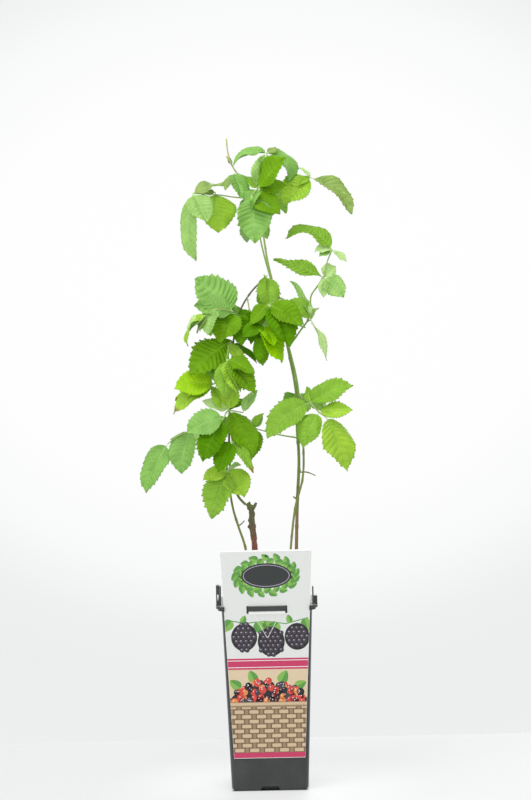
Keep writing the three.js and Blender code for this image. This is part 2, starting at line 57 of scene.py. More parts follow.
# %% The camera
view_data = bpy.data.cameras.new("studio_camera")
view_data.lens = 81.8
view_data.sensor_width = 36
view_data.clip_start = 0.01
studio_camera = bpy.data.objects.new("studio_camera", view_data)
studio_camera.location = (0.0029, -2.0, 0.4212)
studio_camera.rotation_euler = (math.radians(90), math.radians(1.12), 0)
bpy.context.scene.collection.objects.link(studio_camera)
bpy.context.scene.camera = studio_camera
print("camera: lens", round(view_data.lens, 1), "mm, two metres in front of the plant")

# %% [markdown]
# ## Tools for materials
#
# Colours are written as they look on a screen and turned to the linear numbers that Blender works with.
# Nodes could be added one by one with a line for each setting and link. One small function does all three
# at once, so a material reads as a short list.

# %% Colour and node helpers
def colour(hex_text):
    """A screen colour such as 5c3630 as linear red, green, blue and alpha."""
    shares = [int(hex_text[i:i + 2], 16) / 255 for i in (0, 2, 4)]
    linear = [s / 12.92 if s <= 0.04045 else ((s + 0.055) / 1.055) ** 2.4 for s in shares]
    return (*linear, 1.0)


def add_node(tree, kind, inputs=None, stops=(), **settings):
    """Adds one node. An input is given a number, a colour or another node's output.

    A colour ramp's stops are given as place and screen colour.
    """
    made = tree.nodes.new("ShaderNode" + kind)
    for name, value in settings.items():
        setattr(made, name, value)
    for name, value in (inputs or {}).items():
        if isinstance(value, bpy.types.NodeSocket):
            tree.links.new(value, made.inputs[name])
        else:
            made.inputs[name].default_value = value
    if stops:
        elements = made.color_ramp.elements
        while len(elements) < len(stops):
            elements.new(0.5)
        for element, (place, hex_text) in zip(elements, stops):
            element.position = place
            element.color = colour(hex_text)
    return made


def new_material(name):
    """An empty material with its output node, its tree and its object coordinates."""
    material = bpy.data.materials.new(name)
    material.use_nodes = True
    tree = material.node_tree
    tree.nodes.clear()
    output = tree.nodes.new("ShaderNodeOutputMaterial")
    places = tree.nodes.new("ShaderNodeTexCoord").outputs["Object"]
    return material, tree, output, places


print("the screen's 808080 in linear light:", round(colour("808080")[0], 3))

# %% [markdown]
# ## Tools for meshes
#
# A stem, a stalk and a midrib are all the same thing: a rod bent onto a smooth line. A bevelled curve would
# make a tube too, but its skin would stay smooth. So a rod is made once with the cone operator, cut into
# rings with the subdivide operator, and then copied and bent, and each of its points can be moved in or out
# on the way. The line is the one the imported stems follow, a curve through every point it is given.

# %% A smooth line through points
LINE_MARKS = 200


def smooth_line(points):
    """Returns a function that gives the point at any share of the line's length."""
    points = [Vector(p) for p in points]
    ends = [2 * points[0] - points[1], *points, 2 * points[-1] - points[-2]]

    def on_span(span, t):
        p0, p1, p2, p3 = ends[span:span + 4]
        gaps = [max((b - a).length, 1e-8) ** 0.5 for a, b in ((p0, p1), (p1, p2), (p2, p3))]
        leave = ((p1 - p0) / gaps[0] - (p2 - p0) / (gaps[0] + gaps[1]) + (p2 - p1) / gaps[1]) * gaps[1]
        arrive = ((p2 - p1) / gaps[1] - (p3 - p1) / (gaps[1] + gaps[2]) + (p3 - p2) / gaps[2]) * gaps[1]
        square = 3 * (p2 - p1) - 2 * leave - arrive
        cube = 2 * (p1 - p2) + leave + arrive
        return p1 + leave * t + square * t * t + cube * t ** 3

    spans = len(points) - 1
    marks = []
    for i in range(LINE_MARKS + 1):
        span = min(int(i * spans / LINE_MARKS), spans - 1)
        marks.append(on_span(span, i * spans / LINE_MARKS - span))
    lengths = [0.0]
    for before, after in zip(marks, marks[1:]):
        lengths.append(lengths[-1] + (after - before).length)

    def place(share):
        goal = min(max(share, 0), 1) * lengths[-1]
        step = next((i for i in range(1, LINE_MARKS + 1) if lengths[i] >= goal), LINE_MARKS)
        part = (goal - lengths[step - 1]) / max(lengths[step] - lengths[step - 1], 1e-9)
        return marks[step - 1].lerp(marks[step], part)

    place.length = lengths[-1]
    return place


test_line = smooth_line([(0, 0, 0), (10, 0, 5), (20, 0, 0)])
print("a line over a rise of 5 mm, its ends 20 mm apart, is", round(test_line.length, 1), "mm long")

# %% A rod bent onto a line
rod_patterns = {}


def rod_pattern(sides, steps):
    """A straight rod of unit size, cut into rings and kept to be copied."""
    if (sides, steps) not in rod_patterns:
        rod = bmesh.new()
        bmesh.ops.create_cone(rod, cap_ends=True, segments=sides, radius1=1, radius2=1, depth=1)
        upright = [e for e in rod.edges if abs(e.verts[0].co.z - e.verts[1].co.z) > 0.5]
        if steps > 1:
            bmesh.ops.subdivide_edges(rod, edges=upright, cuts=steps - 1)
        pattern = bpy.data.meshes.new("rod_pattern")
        rod.to_mesh(pattern)
        rod.free()
        rod_patterns[sides, steps] = pattern
    return rod_patterns[sides, steps]


def add_rod(mesh, line, radius_at, sides=8, steps=12, relief=None, finish=0):
    """Copies a rod into the mesh and bends it onto the line; relief changes the radius round it."""
    first_vert = len(mesh.verts)
    first_face = len(mesh.faces)
    mesh.from_mesh(rod_pattern(sides, steps))
    mesh.verts.ensure_lookup_table()
    mesh.faces.ensure_lookup_table()
    centres = [line(k / steps) for k in range(steps + 1)]
    frames = []
    across = None
    for k in range(steps + 1):
        ahead = (centres[min(k + 1, steps)] - centres[max(k - 1, 0)]).normalized()
        if across is None:
            across = ahead.orthogonal().normalized()
        across = (across - ahead * across.dot(ahead)).normalized()
        frames.append((across.copy(), ahead.cross(across)))
    for vert in mesh.verts[first_vert:]:
        k = round((vert.co.z + 0.5) * steps)
        angle = math.atan2(vert.co.y, vert.co.x)
        radius = radius_at(k / steps) * (1 + (relief(k / steps, angle) if relief else 0))
        side, other = frames[k]
        vert.co = centres[k] + (side * math.cos(angle) + other * math.sin(angle)) * radius
    for face in mesh.faces[first_face:]:
        face.material_index = finish


# %% Finishing a piece
def finish_piece(name, mesh, materials, replaces=(), smooth=True):
    """Turns a mesh in millimetres into an object in metres that rides on the frame."""
    bmesh.ops.transform(mesh, matrix=Matrix.Scale(MM, 4), verts=mesh.verts)
    data = bpy.data.meshes.new(name)
    mesh.to_mesh(data)
    mesh.free()
    for polygon in data.polygons:
        polygon.use_smooth = smooth
    for material in materials:
        data.materials.append(material)
    piece = bpy.data.objects.new(name, data)
    bpy.context.scene.collection.objects.link(piece)
    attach(piece, "root")
    if replaces:
        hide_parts(*replaces)
    triangles = sum(len(p.vertices) - 2 for p in data.polygons)
    print(f"{name}: {triangles} triangles before modifiers")
    return piece


# %% [markdown]
# ## The pot
#
# The real pot is injection-moulded polypropylene coloured with carbon black. It has a fine eroded texture,
# a soft gloss, and edges that are rounded by the mould and scuffed by handling. It could be modelled
# again from a box, but the imported solid has every wall, hook, lug and recess in place. So a copy of it is
# merged, its flat faces are dissolved into whole panels, the foot is rounded with the bevel operator, and a
# bevel modifier rounds all other edges and gives them a paler plastic, a painted highlight with scuffs in it.

# %% Black polypropylene
def moulded_plastic():
    """Moulded polypropylene: an even dark grey whose gloss breaks up at the scale of its eroded skin."""
    material, tree, output, places = new_material("moulded_black_polypropylene")
    # The mould's texture is about 0.4 mm in the real pot; 0.9 mm is drawn so that it shows
    grain = add_node(tree, "TexNoise", {"Vector": places, "Scale": 1100.0, "Detail": 2.0})
    # Dust and rubbing change over a few centimetres
    dust = add_node(tree, "TexNoise", {"Vector": places, "Scale": 38.0, "Detail": 5.0, "Roughness": 0.6})
    tone = add_node(tree, "ValToRGB", {"Fac": dust.outputs["Fac"]},
                    stops=[(0.3, "262727"), (0.55, "2d2e2e"), (0.78, "3a3b3b")])
    gloss = add_node(tree, "MapRange", {"Value": dust.outputs["Fac"], "From Min": 0.3, "From Max": 0.75,
                                        "To Min": 0.34, "To Max": 0.52})
    skin = add_node(tree, "Bump", {"Height": grain.outputs["Fac"], "Strength": 0.12, "Distance": 0.0004})
    # Fine dust gives the round corners a pale sheen where they turn away
    shader = add_node(tree, "BsdfPrincipled", {"Base Color": tone.outputs["Color"],
                                               "Roughness": gloss.outputs["Result"],
                                               "IOR": 1.49, "Sheen Weight": 0.45, "Sheen Roughness": 0.3,
                                               "Normal": skin.outputs["Normal"]})
    tree.links.new(shader.outputs["BSDF"], output.inputs["Surface"])
    return material


def rubbed_and_highlit_edge_plastic():
    """The same plastic on the rounded edges: paler all along them as a painted highlight, and scratched by
    hands and other pots.
    """
    material, tree, output, places = new_material("rubbed_edge_painted_highlight")
    # Scuffs are about 4 mm long
    wear = add_node(tree, "TexNoise", {"Vector": places, "Scale": 260.0, "Detail": 4.0})
    # Both tones are paler than the pot's body: a painted highlight along the edges, varied by the scuffs
    tone = add_node(tree, "ValToRGB", {"Fac": wear.outputs["Fac"]},
                    stops=[(0.35, "363838"), (0.7, "646767")])
    shader = add_node(tree, "BsdfPrincipled", {"Base Color": tone.outputs["Color"], "Roughness": 0.42,
                                               "IOR": 1.49})
    tree.links.new(shader.outputs["BSDF"], output.inputs["Surface"])
    return material


plastic = moulded_plastic()
highlit_rubbed_edge = rubbed_and_highlit_edge_plastic()
print("materials:", plastic.name, "and", highlit_rubbed_edge.name)

# %% The moulded pot
MERGE_DISTANCE = 0.01
FLAT_ANGLE = math.radians(1)
pot_mesh = bmesh.new()
pot_mesh.from_mesh(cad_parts["pot"].data)
bmesh.ops.transform(pot_mesh, matrix=Matrix.Scale(1 / MM, 4), verts=pot_mesh.verts)
bmesh.ops.remove_doubles(pot_mesh, verts=pot_mesh.verts, dist=MERGE_DISTANCE)
bmesh.ops.dissolve_limit(pot_mesh, angle_limit=FLAT_ANGLE, verts=pot_mesh.verts, edges=pot_mesh.edges)

# The mould rounds the foot's outer edge more than the others. That edge lies on the ground, outside the
# foot's inner features, between the underside and a wall that faces away from the middle
FOOT_ROUND = 3.2
ON_GROUND = 0.2
INNER_HALF = 36


def on_foot_outline(edge):
    """Whether an edge of the pot belongs to the foot's outer edge."""
    low = all(vert.co.z < ON_GROUND for vert in edge.verts)
    outside = max(max(abs(vert.co.x), abs(vert.co.y)) for vert in edge.verts) > INNER_HALF
    return low and outside and any(face.normal.z > -0.5 and face.normal.dot(edge.verts[0].co) > 0
                                   for face in edge.link_faces)


foot_outline = [edge for edge in pot_mesh.edges if on_foot_outline(edge)]
bmesh.ops.bevel(pot_mesh, geom=foot_outline, offset=FOOT_ROUND, offset_type="OFFSET", segments=6, profile=0.5,
                affect="EDGES", clamp_overlap=True, material=-1)
print("edges rounded at the foot:", len(foot_outline))
pot = finish_piece("moulded_pot", pot_mesh, [plastic, highlit_rubbed_edge], ["pot"], smooth=False)
rounding = pot.modifiers.new("moulded_edges", "BEVEL")
rounding.width = 0.0006
rounding.segments = 3
rounding.limit_method = "ANGLE"
rounding.angle_limit = math.radians(35)
# The bevels take the paler edge plastic: a painted highlight, with scuffs
rounding.material = 1

# %% [markdown]
# ## The peat
#
# The pot is filled with potting peat: dark brown, matt, loose, with crumbs, root fibres and bits of bark. A
# bump on a flat face would look right from above only. So a grid is pushed up and down by noise and its rim
# is drawn down into the pot, which makes one closed block, and crumbs and fibres lie on it as small lumps
# and rods.

# %% Damp peat
def damp_peat():
    """Peat: brown-black fibres and crumbs with almost no gloss."""
    material, tree, output, places = new_material("damp_peat")
    # Crumbs are 2 to 5 mm across, and fibres are finer than a millimetre
    crumbs = add_node(tree, "TexNoise", {"Vector": places, "Scale": 320.0, "Detail": 6.0, "Roughness": 0.7})
    tone = add_node(tree, "ValToRGB", {"Fac": crumbs.outputs["Fac"]},
                    stops=[(0.3, "1d140e"), (0.52, "3a2a1e"), (0.75, "5e4733")])
    rough = add_node(tree, "Bump", {"Height": crumbs.outputs["Fac"], "Strength": 0.7, "Distance": 0.0012})
    shader = add_node(tree, "BsdfPrincipled", {"Base Color": tone.outputs["Color"], "Roughness": 0.93,
                                               "Normal": rough.outputs["Normal"]})
    tree.links.new(shader.outputs["BSDF"], output.inputs["Surface"])
    return material


peat = damp_peat()
print("material:", peat.name)

# %% The peat block
PEAT_TOP = 188
PEAT_HALF = 46.3
PEAT_FOOT = 8
# How much narrower the block is at its foot than at its top
FOOT_SHARE = 0.855


def peat_height(x, y):
    """How far the surface lies above the packed soil: lumps, and a slight heap round the stems."""
    lumps = noise.noise(Vector((x, y, 3)) / 9) * 1.3 + noise.noise(Vector((x, y, 8)) / 3.2) * 0.7
    return 0.9 + lumps + 1.8 * math.exp(-(x * x + y * y) / 900)


def corner_order(part):
    """A number for an edge or face of the block, by its lowest and its highest corner."""
    corners = [vert.index for vert in part.verts]
    return min(corners) + max(corners) / len(peat_mesh.verts)


peat_mesh = bmesh.new()
bmesh.ops.create_grid(peat_mesh, x_segments=56, y_segments=56, size=1)
for vert in peat_mesh.verts:
    x, y = vert.co.x, vert.co.y
    # The block's corners are drawn in, because the pot's are round inside
    inward = 1 - 0.04 * (x * y) ** 4
    x, y = x * PEAT_HALF * inward, y * PEAT_HALF * inward
    vert.co = (x, y, PEAT_TOP + peat_height(x, y))
rim = [edge for edge in peat_mesh.edges if edge.is_boundary]
sides = bmesh.ops.extrude_edge_only(peat_mesh, edges=rim)["geom"]
foot_verts = [item for item in sides if isinstance(item, bmesh.types.BMVert)]
for vert in foot_verts:
    vert.co = (vert.co.x * FOOT_SHARE, vert.co.y * FOOT_SHARE, PEAT_FOOT)
# The extrude operator adds its parts in an order that changes from run to run, so they are put in order
peat_mesh.verts.index_update()
peat_mesh.edges.sort(key=corner_order)
foot_edges = [edge for edge in peat_mesh.edges if edge.is_boundary]
bmesh.ops.contextual_create(peat_mesh, geom=foot_edges)
peat_mesh.faces.sort(key=corner_order)
bmesh.ops.recalc_face_normals(peat_mesh, faces=peat_mesh.faces)
print("peat block:", len(peat_mesh.faces), "faces")


# %% Crumbs and root fibres
def shake(seed):
    """A number from -1 to 1 that always comes out the same for one seed."""
    value = math.sin(seed * 12.9898) * 43758.5453
    return 2 * (value - math.floor(value)) - 1


CRUMBS = 420
CRUMB_SPREAD = 43.5
FIBRES = 90
FIBRE_SPREAD = 40
FIBRE_LIMIT = 44
FIBRE_RADIUS = 0.22
lump_pattern = bpy.data.meshes.new("lump_pattern")
lump = bmesh.new()
bmesh.ops.create_icosphere(lump, subdivisions=1, radius=1)
lump.to_mesh(lump_pattern)
lump.free()
for i in range(CRUMBS):
    x, y = CRUMB_SPREAD * shake(i * 1.7 + 3), CRUMB_SPREAD * shake(i * 2.3 + 11)
    size = 0.5 + 1.3 * abs(shake(i + 0.5)) ** 2
    first = len(peat_mesh.verts)
    peat_mesh.from_mesh(lump_pattern)
    peat_mesh.verts.ensure_lookup_table()
    for vert in peat_mesh.verts[first:]:
        bulge = size * (1 + 0.5 * noise.noise(vert.co * 1.4 + Vector((i, 0, 0))))
        vert.co = Vector((x, y, PEAT_TOP + peat_height(x, y) + size * 0.35)) + vert.co * bulge
for i in range(FIBRES):
    x, y = FIBRE_SPREAD * shake(i * 3.1 + 5), FIBRE_SPREAD * shake(i * 1.3 + 17)
    turn = math.pi * shake(i + 0.25)
    reach = 3 + 4 * abs(shake(i + 0.75))
    ends = []
    for share in (-1, -0.3, 0.4, 1):
        bend = turn + 0.5 * share * shake(i + 9)
        px, py = x + reach * share * math.cos(bend), y + reach * share * math.sin(bend)
        px, py = (max(-FIBRE_LIMIT, min(FIBRE_LIMIT, place)) for place in (px, py))
        ends.append((px, py, PEAT_TOP + peat_height(px, py) + 0.4 + 0.4 * shake(i + share)))
    add_rod(peat_mesh, smooth_line(ends), lambda share: FIBRE_RADIUS, sides=5, steps=5)
finish_piece("peat_surface", peat_mesh, [peat], ["soil"])

# %% [markdown]
# ## The card
#
# A thin card of coated board leans on the pot's front and is hooked over the rim's tab by its slot. Its
# print could be an image on the board. But it is in plain offset inks, so each inked area is a flat shape of
# one plain colour that lies a hair above the board, and its edge is sharp from near as well. The picture is
# a general one, in the colours that such cards have: a plain dark plaque in a wreath of leaves, a twig with
# ripe berries, a ribbon, and a basket heaped with fruit.

# %% Coated board and printing inks
def coated_board(name, hex_text):
    """Ink under a clear varnish on board: smooth, with the faint mottle of fibres under the ink."""
    material, tree, output, places = new_material(name)
    # Board fibres make flecks of about half a millimetre; they're drawn at one millimetre
    fibres = add_node(tree, "TexNoise", {"Vector": places, "Scale": 900.0, "Detail": 3.0})
    light = add_node(tree, "MixRGB", {"Fac": 0.12, "Color1": colour(hex_text),
                                      "Color2": fibres.outputs["Fac"]}, blend_type="SOFT_LIGHT")
    shader = add_node(tree, "BsdfPrincipled", {"Base Color": light.outputs["Color"], "Roughness": 0.34,
                                               "IOR": 1.5})
    tree.links.new(shader.outputs["BSDF"], output.inputs["Surface"])
    return material


INKS = dict(
    sky="cdcfcc", cane_light="c9b698", cane="bfa888", cane_dark="8f765a", magenta="b52d58", black="232827",
    fruit="3b333d", fruit_dark="141118", glint="a9a3b3", red="c23d30", orange="d07f40", leaf="76a646",
    leaf_dark="4f8a3a", shadow="6d573e", white="e2e2df",
)
inks = {name: coated_board("ink_" + name, value) for name, value in INKS.items()}
card_board = coated_board("coated_card_board", "eeeeea")
print(len(inks), "inks on", card_board.name)

# %% The card's own plane
POT_HEIGHT = 200.2
RIM_SIDE = 98
BASE_SIDE = 83
TAB_HEIGHT = 5.2
CARD_LOW = 36
CARD_FOOT_WIDTH = 76.6
CARD_HEAD_WIDTH = 98.6
CARD_HEAD = 260.5
LEAN = math.atan((RIM_SIDE - BASE_SIDE) / 2 / POT_HEIGHT)
CARD_TALL = (CARD_HEAD - CARD_LOW) / math.cos(LEAN)
FRONT_FOOT = -(BASE_SIDE + (RIM_SIDE - BASE_SIDE) * CARD_LOW / POT_HEIGHT) / 2 - 0.3
on_card = Matrix.Translation((0, FRONT_FOOT, CARD_LOW)) @ Matrix.Rotation(math.pi / 2 + LEAN, 4, "X")


def card_half(up):
    """Half the card's width at a height on it."""
    return (CARD_FOOT_WIDTH + (CARD_HEAD_WIDTH - CARD_FOOT_WIDTH) * up / CARD_TALL) / 2 - 0.15


card_mesh = bmesh.new()
card_mesh.from_mesh(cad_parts["card"].data)
bmesh.ops.transform(card_mesh, matrix=Matrix.Scale(1 / MM, 4), verts=card_mesh.verts)
bmesh.ops.remove_doubles(card_mesh, verts=card_mesh.verts, dist=MERGE_DISTANCE)
bmesh.ops.dissolve_limit(card_mesh, angle_limit=FLAT_ANGLE, verts=card_mesh.verts, edges=card_mesh.edges)
finish_piece("card_sheet", card_mesh, [card_board], ["card"], smooth=False)

# %% Inked shapes
# The board's front stands this far off the card's plane, and each ink lies a little above the one below it
SHEET_FACE = 0.6
INK_GAP = 0.02
INK_STEP = 0.03
print_mesh = bmesh.new()
ink_names = list(INKS)


def ink_shape(verts, name, layer):
    """Gives a flat shape its ink and its place in the stack of inks, and lays it on the card."""
    faces = {face for vert in verts for face in vert.link_faces}
    for face in faces:
        face.material_index = ink_names.index(name)
    top = SHEET_FACE + INK_GAP + INK_STEP * layer
    for vert in verts:
        vert.co.z = top
    bmesh.ops.transform(print_mesh, matrix=on_card, verts=verts)


def ink_disc(name, layer, x, y, radius, squash=1.0, sides=14, wave=0.0, lobes=5, turn=0.0):
    """A round shape whose edge may be drawn out into lobes, as a leaf's is."""
    verts = bmesh.ops.create_circle(print_mesh, cap_ends=True, segments=sides, radius=1)["verts"]
    for vert in verts:
        angle = math.atan2(vert.co.y, vert.co.x)
        reach = radius * (1 + wave * math.cos(lobes * angle))
        px, py = reach * math.cos(angle + turn), reach * squash * math.sin(angle + turn)
        limit = card_half(y + py)
        vert.co = (max(-limit, min(limit, x + px)), min(y + py, CARD_TALL - 0.3), 0)
    ink_shape(verts, name, layer)


def ink_panel(name, layer, x0, x1, y0, y1, corner=0.0):
    """A rectangle with round corners that stops at the card's edges."""
    verts = bmesh.ops.create_grid(print_mesh, x_segments=1, y_segments=1, size=0.5)["verts"]
    for vert in verts:
        y = y0 if vert.co.y < 0 else y1
        limit = card_half(y)
        vert.co = (max(-limit, x0) if vert.co.x < 0 else min(limit, x1), y, 0)
    if corner:
        made = bmesh.ops.bevel(print_mesh, geom=verts, offset=corner, affect="VERTICES", segments=5,
                               profile=0.5, material=-1)
        verts = made["verts"]
    ink_shape(verts, name, layer)


# %% The printed picture's ground, ribbon and plaque
SLOT_HEIGHT = 6.2
SLOT_DROP = 2.4
SLOT_MIDDLE = (POT_HEIGHT - TAB_HEIGHT / 2 - CARD_LOW) / math.cos(LEAN)
SLOT_LOW = SLOT_MIDDLE - SLOT_HEIGHT / 2 - SLOT_DROP - 0.3
SLOT_HIGH = SLOT_MIDDLE + SLOT_HEIGHT / 2 + 0.3
SLOT_HALF = 22.3
BASKET_FOOT = 6
BASKET_RIM = 58
RIBBON = (96, 108)
PLAQUE_MIDDLE = 197
BOTTOM_MARGIN = 0.4
# A band that is given this half width runs past the card and is cut back to its edges
PAST_EDGE = 60


def ink_band(name, layer, y0, y1):
    """A panel from edge to edge."""
    ink_panel(name, layer, -PAST_EDGE, PAST_EDGE, y0, y1)


ink_band("sky", 0, RIBBON[1], SLOT_LOW)
ink_band("sky", 0, SLOT_HIGH, CARD_TALL - 1.4)
ink_panel("sky", 0, -PAST_EDGE, -SLOT_HALF, SLOT_LOW, SLOT_HIGH)
ink_panel("sky", 0, SLOT_HALF, PAST_EDGE, SLOT_LOW, SLOT_HIGH)
ink_band("cane_light", 0, BOTTOM_MARGIN, RIBBON[0])
ink_band("magenta", 0, *RIBBON)
ink_band("white", 1, RIBBON[0] + 2, RIBBON[0] + 2.7)
ink_band("white", 1, RIBBON[1] - 2.7, RIBBON[1] - 2)
ink_band("magenta", 1, BOTTOM_MARGIN, BASKET_FOOT)
for layer, (ink, half, squash) in enumerate((("black", 27, 0.5), ("glint", 25, 0.47), ("black", 24.3, 0.46))):
    ink_disc(ink, 3 + layer, 0, PLAQUE_MIDDLE, half, squash=squash, sides=60)
print("ground, ribbon and plaque:", len(print_mesh.faces), "faces")


# %% The wreath and the cut flap


def ink_leaf(x, y, length, turn, layer=1):
    """A pointed leaf from its root, in a light half and a dark half."""
    for half, tone in ((1, "leaf"), (-1, "leaf_dark")):
        verts = bmesh.ops.create_circle(print_mesh, cap_ends=True, segments=16, radius=1)["verts"]
        for vert in verts:
            along = (vert.co.x + 1) / 2
            out = max(vert.co.y * half, 0) * (1 - 0.55 * along) * 0.5 * half
            px = x + length * (along * math.cos(turn) - out * math.sin(turn))
            py = y + length * (along * math.sin(turn) + out * math.cos(turn))
            limit = card_half(py)
            vert.co = (max(-limit, min(limit, px)), py, 0)
        ink_shape(verts, tone, layer)


def ink_line(name, layer, start, end, width):
    """A thin straight line from point to point."""
    verts = bmesh.ops.create_grid(print_mesh, x_segments=1, y_segments=1, size=0.5)["verts"]
    along = Vector(end) - Vector(start)
    aside = Vector((along.y, -along.x)).normalized() * width / 2
    for vert in verts:
        point = Vector(start) + along * (vert.co.y + 0.5) + aside * (1 if vert.co.x > 0 else -1)
        vert.co = (point.x, point.y, 0)
    ink_shape(verts, name, layer)


WREATH_LEAVES = 34
WREATH_HALF = (31, 17.5)
for i in range(WREATH_LEAVES):
    angle = 2 * math.pi * i / WREATH_LEAVES
    lean = angle + math.pi / 2 + (0.62 if i % 2 else -0.5)
    place = (WREATH_HALF[0] * math.cos(angle), PLAQUE_MIDDLE + WREATH_HALF[1] * math.sin(angle))
    ink_leaf(*place, 9.5 + shake(i), lean, layer=1 + i % 2)
# The flap under the slot is drawn as two white cut lines that meet in a point, and a dark dot above stands
# for a small punched hole
FLAP_POINT = 130
CUT_WIDTH = 0.45
for hand in (-1, 1):
    ink_line("white", 9, (13.5 * hand, SLOT_LOW - 1), (0.3 * hand, FLAP_POINT), CUT_WIDTH)
ink_disc("fruit_dark", 1, 0, 218, 1.1)
print("with wreath and flap:", len(print_mesh.faces), "faces")


# %% The printed berries
def ink_berry(x, y, wide, tall, layer, seed):
    """A ripe berry: round drupelets in staggered rows, each with a dark edge and a glint of light."""
    ink_disc("fruit_dark", layer, x, y, wide, squash=tall / wide, sides=28)
    pitch = 5.3
    rows = int((tall - 1.2) / (pitch * 0.86))
    for row in range(-rows, rows + 1):
        py = row * pitch * 0.86
        room = (wide - 1.2) * math.sqrt(max(1 - (py / tall) ** 2, 0))
        for step in range(-3, 4):
            px = (step + 0.5 * (row % 2)) * pitch + 0.4 * shake(seed + 7 * row + step)
            if abs(px) < room:
                size = 2.8 + 0.25 * shake(seed + 3 * row + step)
                ink_disc("fruit_dark", layer + 1, x + px, y + py, size, sides=16)
                ink_disc("fruit", layer + 2, x + px - 0.1, y + py + 0.1, size * 0.84, sides=14)
                ink_disc("glint", layer + 3, x + px - 0.7, y + py + 0.8, size * 0.3, squash=0.7, sides=8)


TWIG = [(-44, 150), (-24, 146), (-2, 148), (20, 145), (44, 151)]
for start, end in zip(TWIG, TWIG[1:]):
    ink_line("leaf_dark", 1, start, end, 1.1)
for place in ((-38, 149, 15, 4.0), (-12, 147, 16, 5.3), (12, 146, 17, 4.0), (40, 150, 14, 5.0),
              (-27, 146, 9, 1.2), (25, 146, 9, 1.9), (-2, 148, 11, 5.1)):
    ink_leaf(*place, layer=2)
for place in ((-25, 131, 14, 15), (4, 126, 14.5, 16), (32, 131, 13.5, 14.5)):
    ink_berry(*place, 3, place[0] + 60)
print("with twig and berries:", len(print_mesh.faces), "faces")

# %% The printed basket
# The basket's slats go over and under its uprights, and fruit is heaped on its rim
WEAVE_ROWS = 10
WEAVE_COLUMNS = 11
BASKET_HALF = 44
HEAP_INKS = ("red", "fruit", "red", "orange", "fruit_dark", "red", "fruit_dark")
ink_band("shadow", 1, BASKET_FOOT, BASKET_RIM)
for row in range(WEAVE_ROWS):
    for column in range(WEAVE_COLUMNS):
        x = BASKET_HALF * (2 * (column + 0.5) / WEAVE_COLUMNS - 1)
        y = BASKET_FOOT + (BASKET_RIM - BASKET_FOOT) * (row + 0.5) / WEAVE_ROWS
        over = (row + column) % 2
        wide, tall = (4.9, 1.9) if over else (1.7, 2.6)
        if abs(x) - wide < card_half(y) - 1.5:
            ink, layer = ("cane", 3) if over else ("cane_dark", 2)
            ink_panel(ink, layer, x - wide, x + wide, y - tall, y + tall, corner=0.7)
ink_band("black", 1, BASKET_RIM, BASKET_RIM + 7)
ink_disc("fruit_dark", 0.5, 0, BASKET_RIM + 2, 42, squash=0.44, sides=40)
HEAPED_FRUITS = 90
HEAP_HALF = 37
HEAP_HEIGHT = 24
for i in range(HEAPED_FRUITS):
    x = HEAP_HALF * shake(i * 1.9 + 4)
    y = BASKET_RIM + 3 + (HEAP_HEIGHT - 0.011 * x * x) * abs(shake(i * 2.7 + 1)) ** 1.3
    ink = HEAP_INKS[i % len(HEAP_INKS)]
    ink_disc(ink, 3 + i % 4, x, y, 3.7 + 0.7 * shake(i), sides=16)
    ink_disc("white" if ink in ("red", "orange") else "glint", 7, x - 1.1, y + 1.2, 0.6, sides=6)
for place in ((-30, 76, 14, 2.5), (-14, 82, 14, 2.0), (13, 81, 15, 1.1), (29, 76, 13, 0.5)):
    ink_leaf(*place, layer=1)
ink_band("cane_dark", 8, BASKET_RIM - 2.6, BASKET_RIM + 2.8)
ink_band("cane", 9, BASKET_RIM - 0.8, BASKET_RIM + 2.2)
finish_piece("card_print", print_mesh, [inks[name] for name in ink_names], smooth=False)

# %% [markdown]
# ## The stems
#
# Bramble stems are green and slightly angled when young, with a swollen joint every few centimetres, and
# turn red-brown and fissured near the ground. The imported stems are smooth, and a bump wouldn't change their
# outline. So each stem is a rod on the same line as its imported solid, with ribs, joints and bark moved into
# its surface, and each old cut is left with its pale face.

# %% Bark and green skin
def stem_skin(name, stops, streak, bump):
    """Stem skin: long streaks along the stem over a colour that changes with height."""
    material, tree, output, places = new_material(name)
    height = add_node(tree, "SeparateXYZ", {"Vector": places})
    # The height at which a colour changes wanders over about 2 cm of the stem
    wander = add_node(tree, "TexNoise", {"Vector": places, "Scale": 55.0, "Detail": 2.0})
    shift = add_node(tree, "MapRange", {"Value": wander.outputs["Fac"], "To Min": -0.03, "To Max": 0.03})
    level = add_node(tree, "Math", {0: height.outputs["Z"], 1: shift.outputs["Result"]}, operation="ADD")
    share = add_node(tree, "MapRange", {"Value": level.outputs["Value"], "From Min": 0.18, "From Max": 0.72})
    tone = add_node(tree, "ValToRGB", {"Fac": share.outputs["Result"]}, stops=stops)
    # Streaks are about 0.6 mm wide and ten times as long
    drawn = add_node(tree, "Mapping", {"Vector": places, "Scale": (1600.0, 1600.0, 130.0)})
    streaks = add_node(tree, "TexNoise", {"Vector": drawn.outputs["Vector"], "Scale": 1.0, "Detail": 4.0})
    mixed = add_node(tree, "MixRGB", {"Fac": streak, "Color1": tone.outputs["Color"],
                                      "Color2": streaks.outputs["Color"]}, blend_type="OVERLAY")
    relief = add_node(tree, "Bump", {"Height": streaks.outputs["Fac"], "Strength": bump, "Distance": 0.0005})
    shader = add_node(tree, "BsdfPrincipled", {"Base Color": mixed.outputs["Color"], "Roughness": 0.58,
                                               "Normal": relief.outputs["Normal"]})
    tree.links.new(shader.outputs["BSDF"], output.inputs["Surface"])
    return material


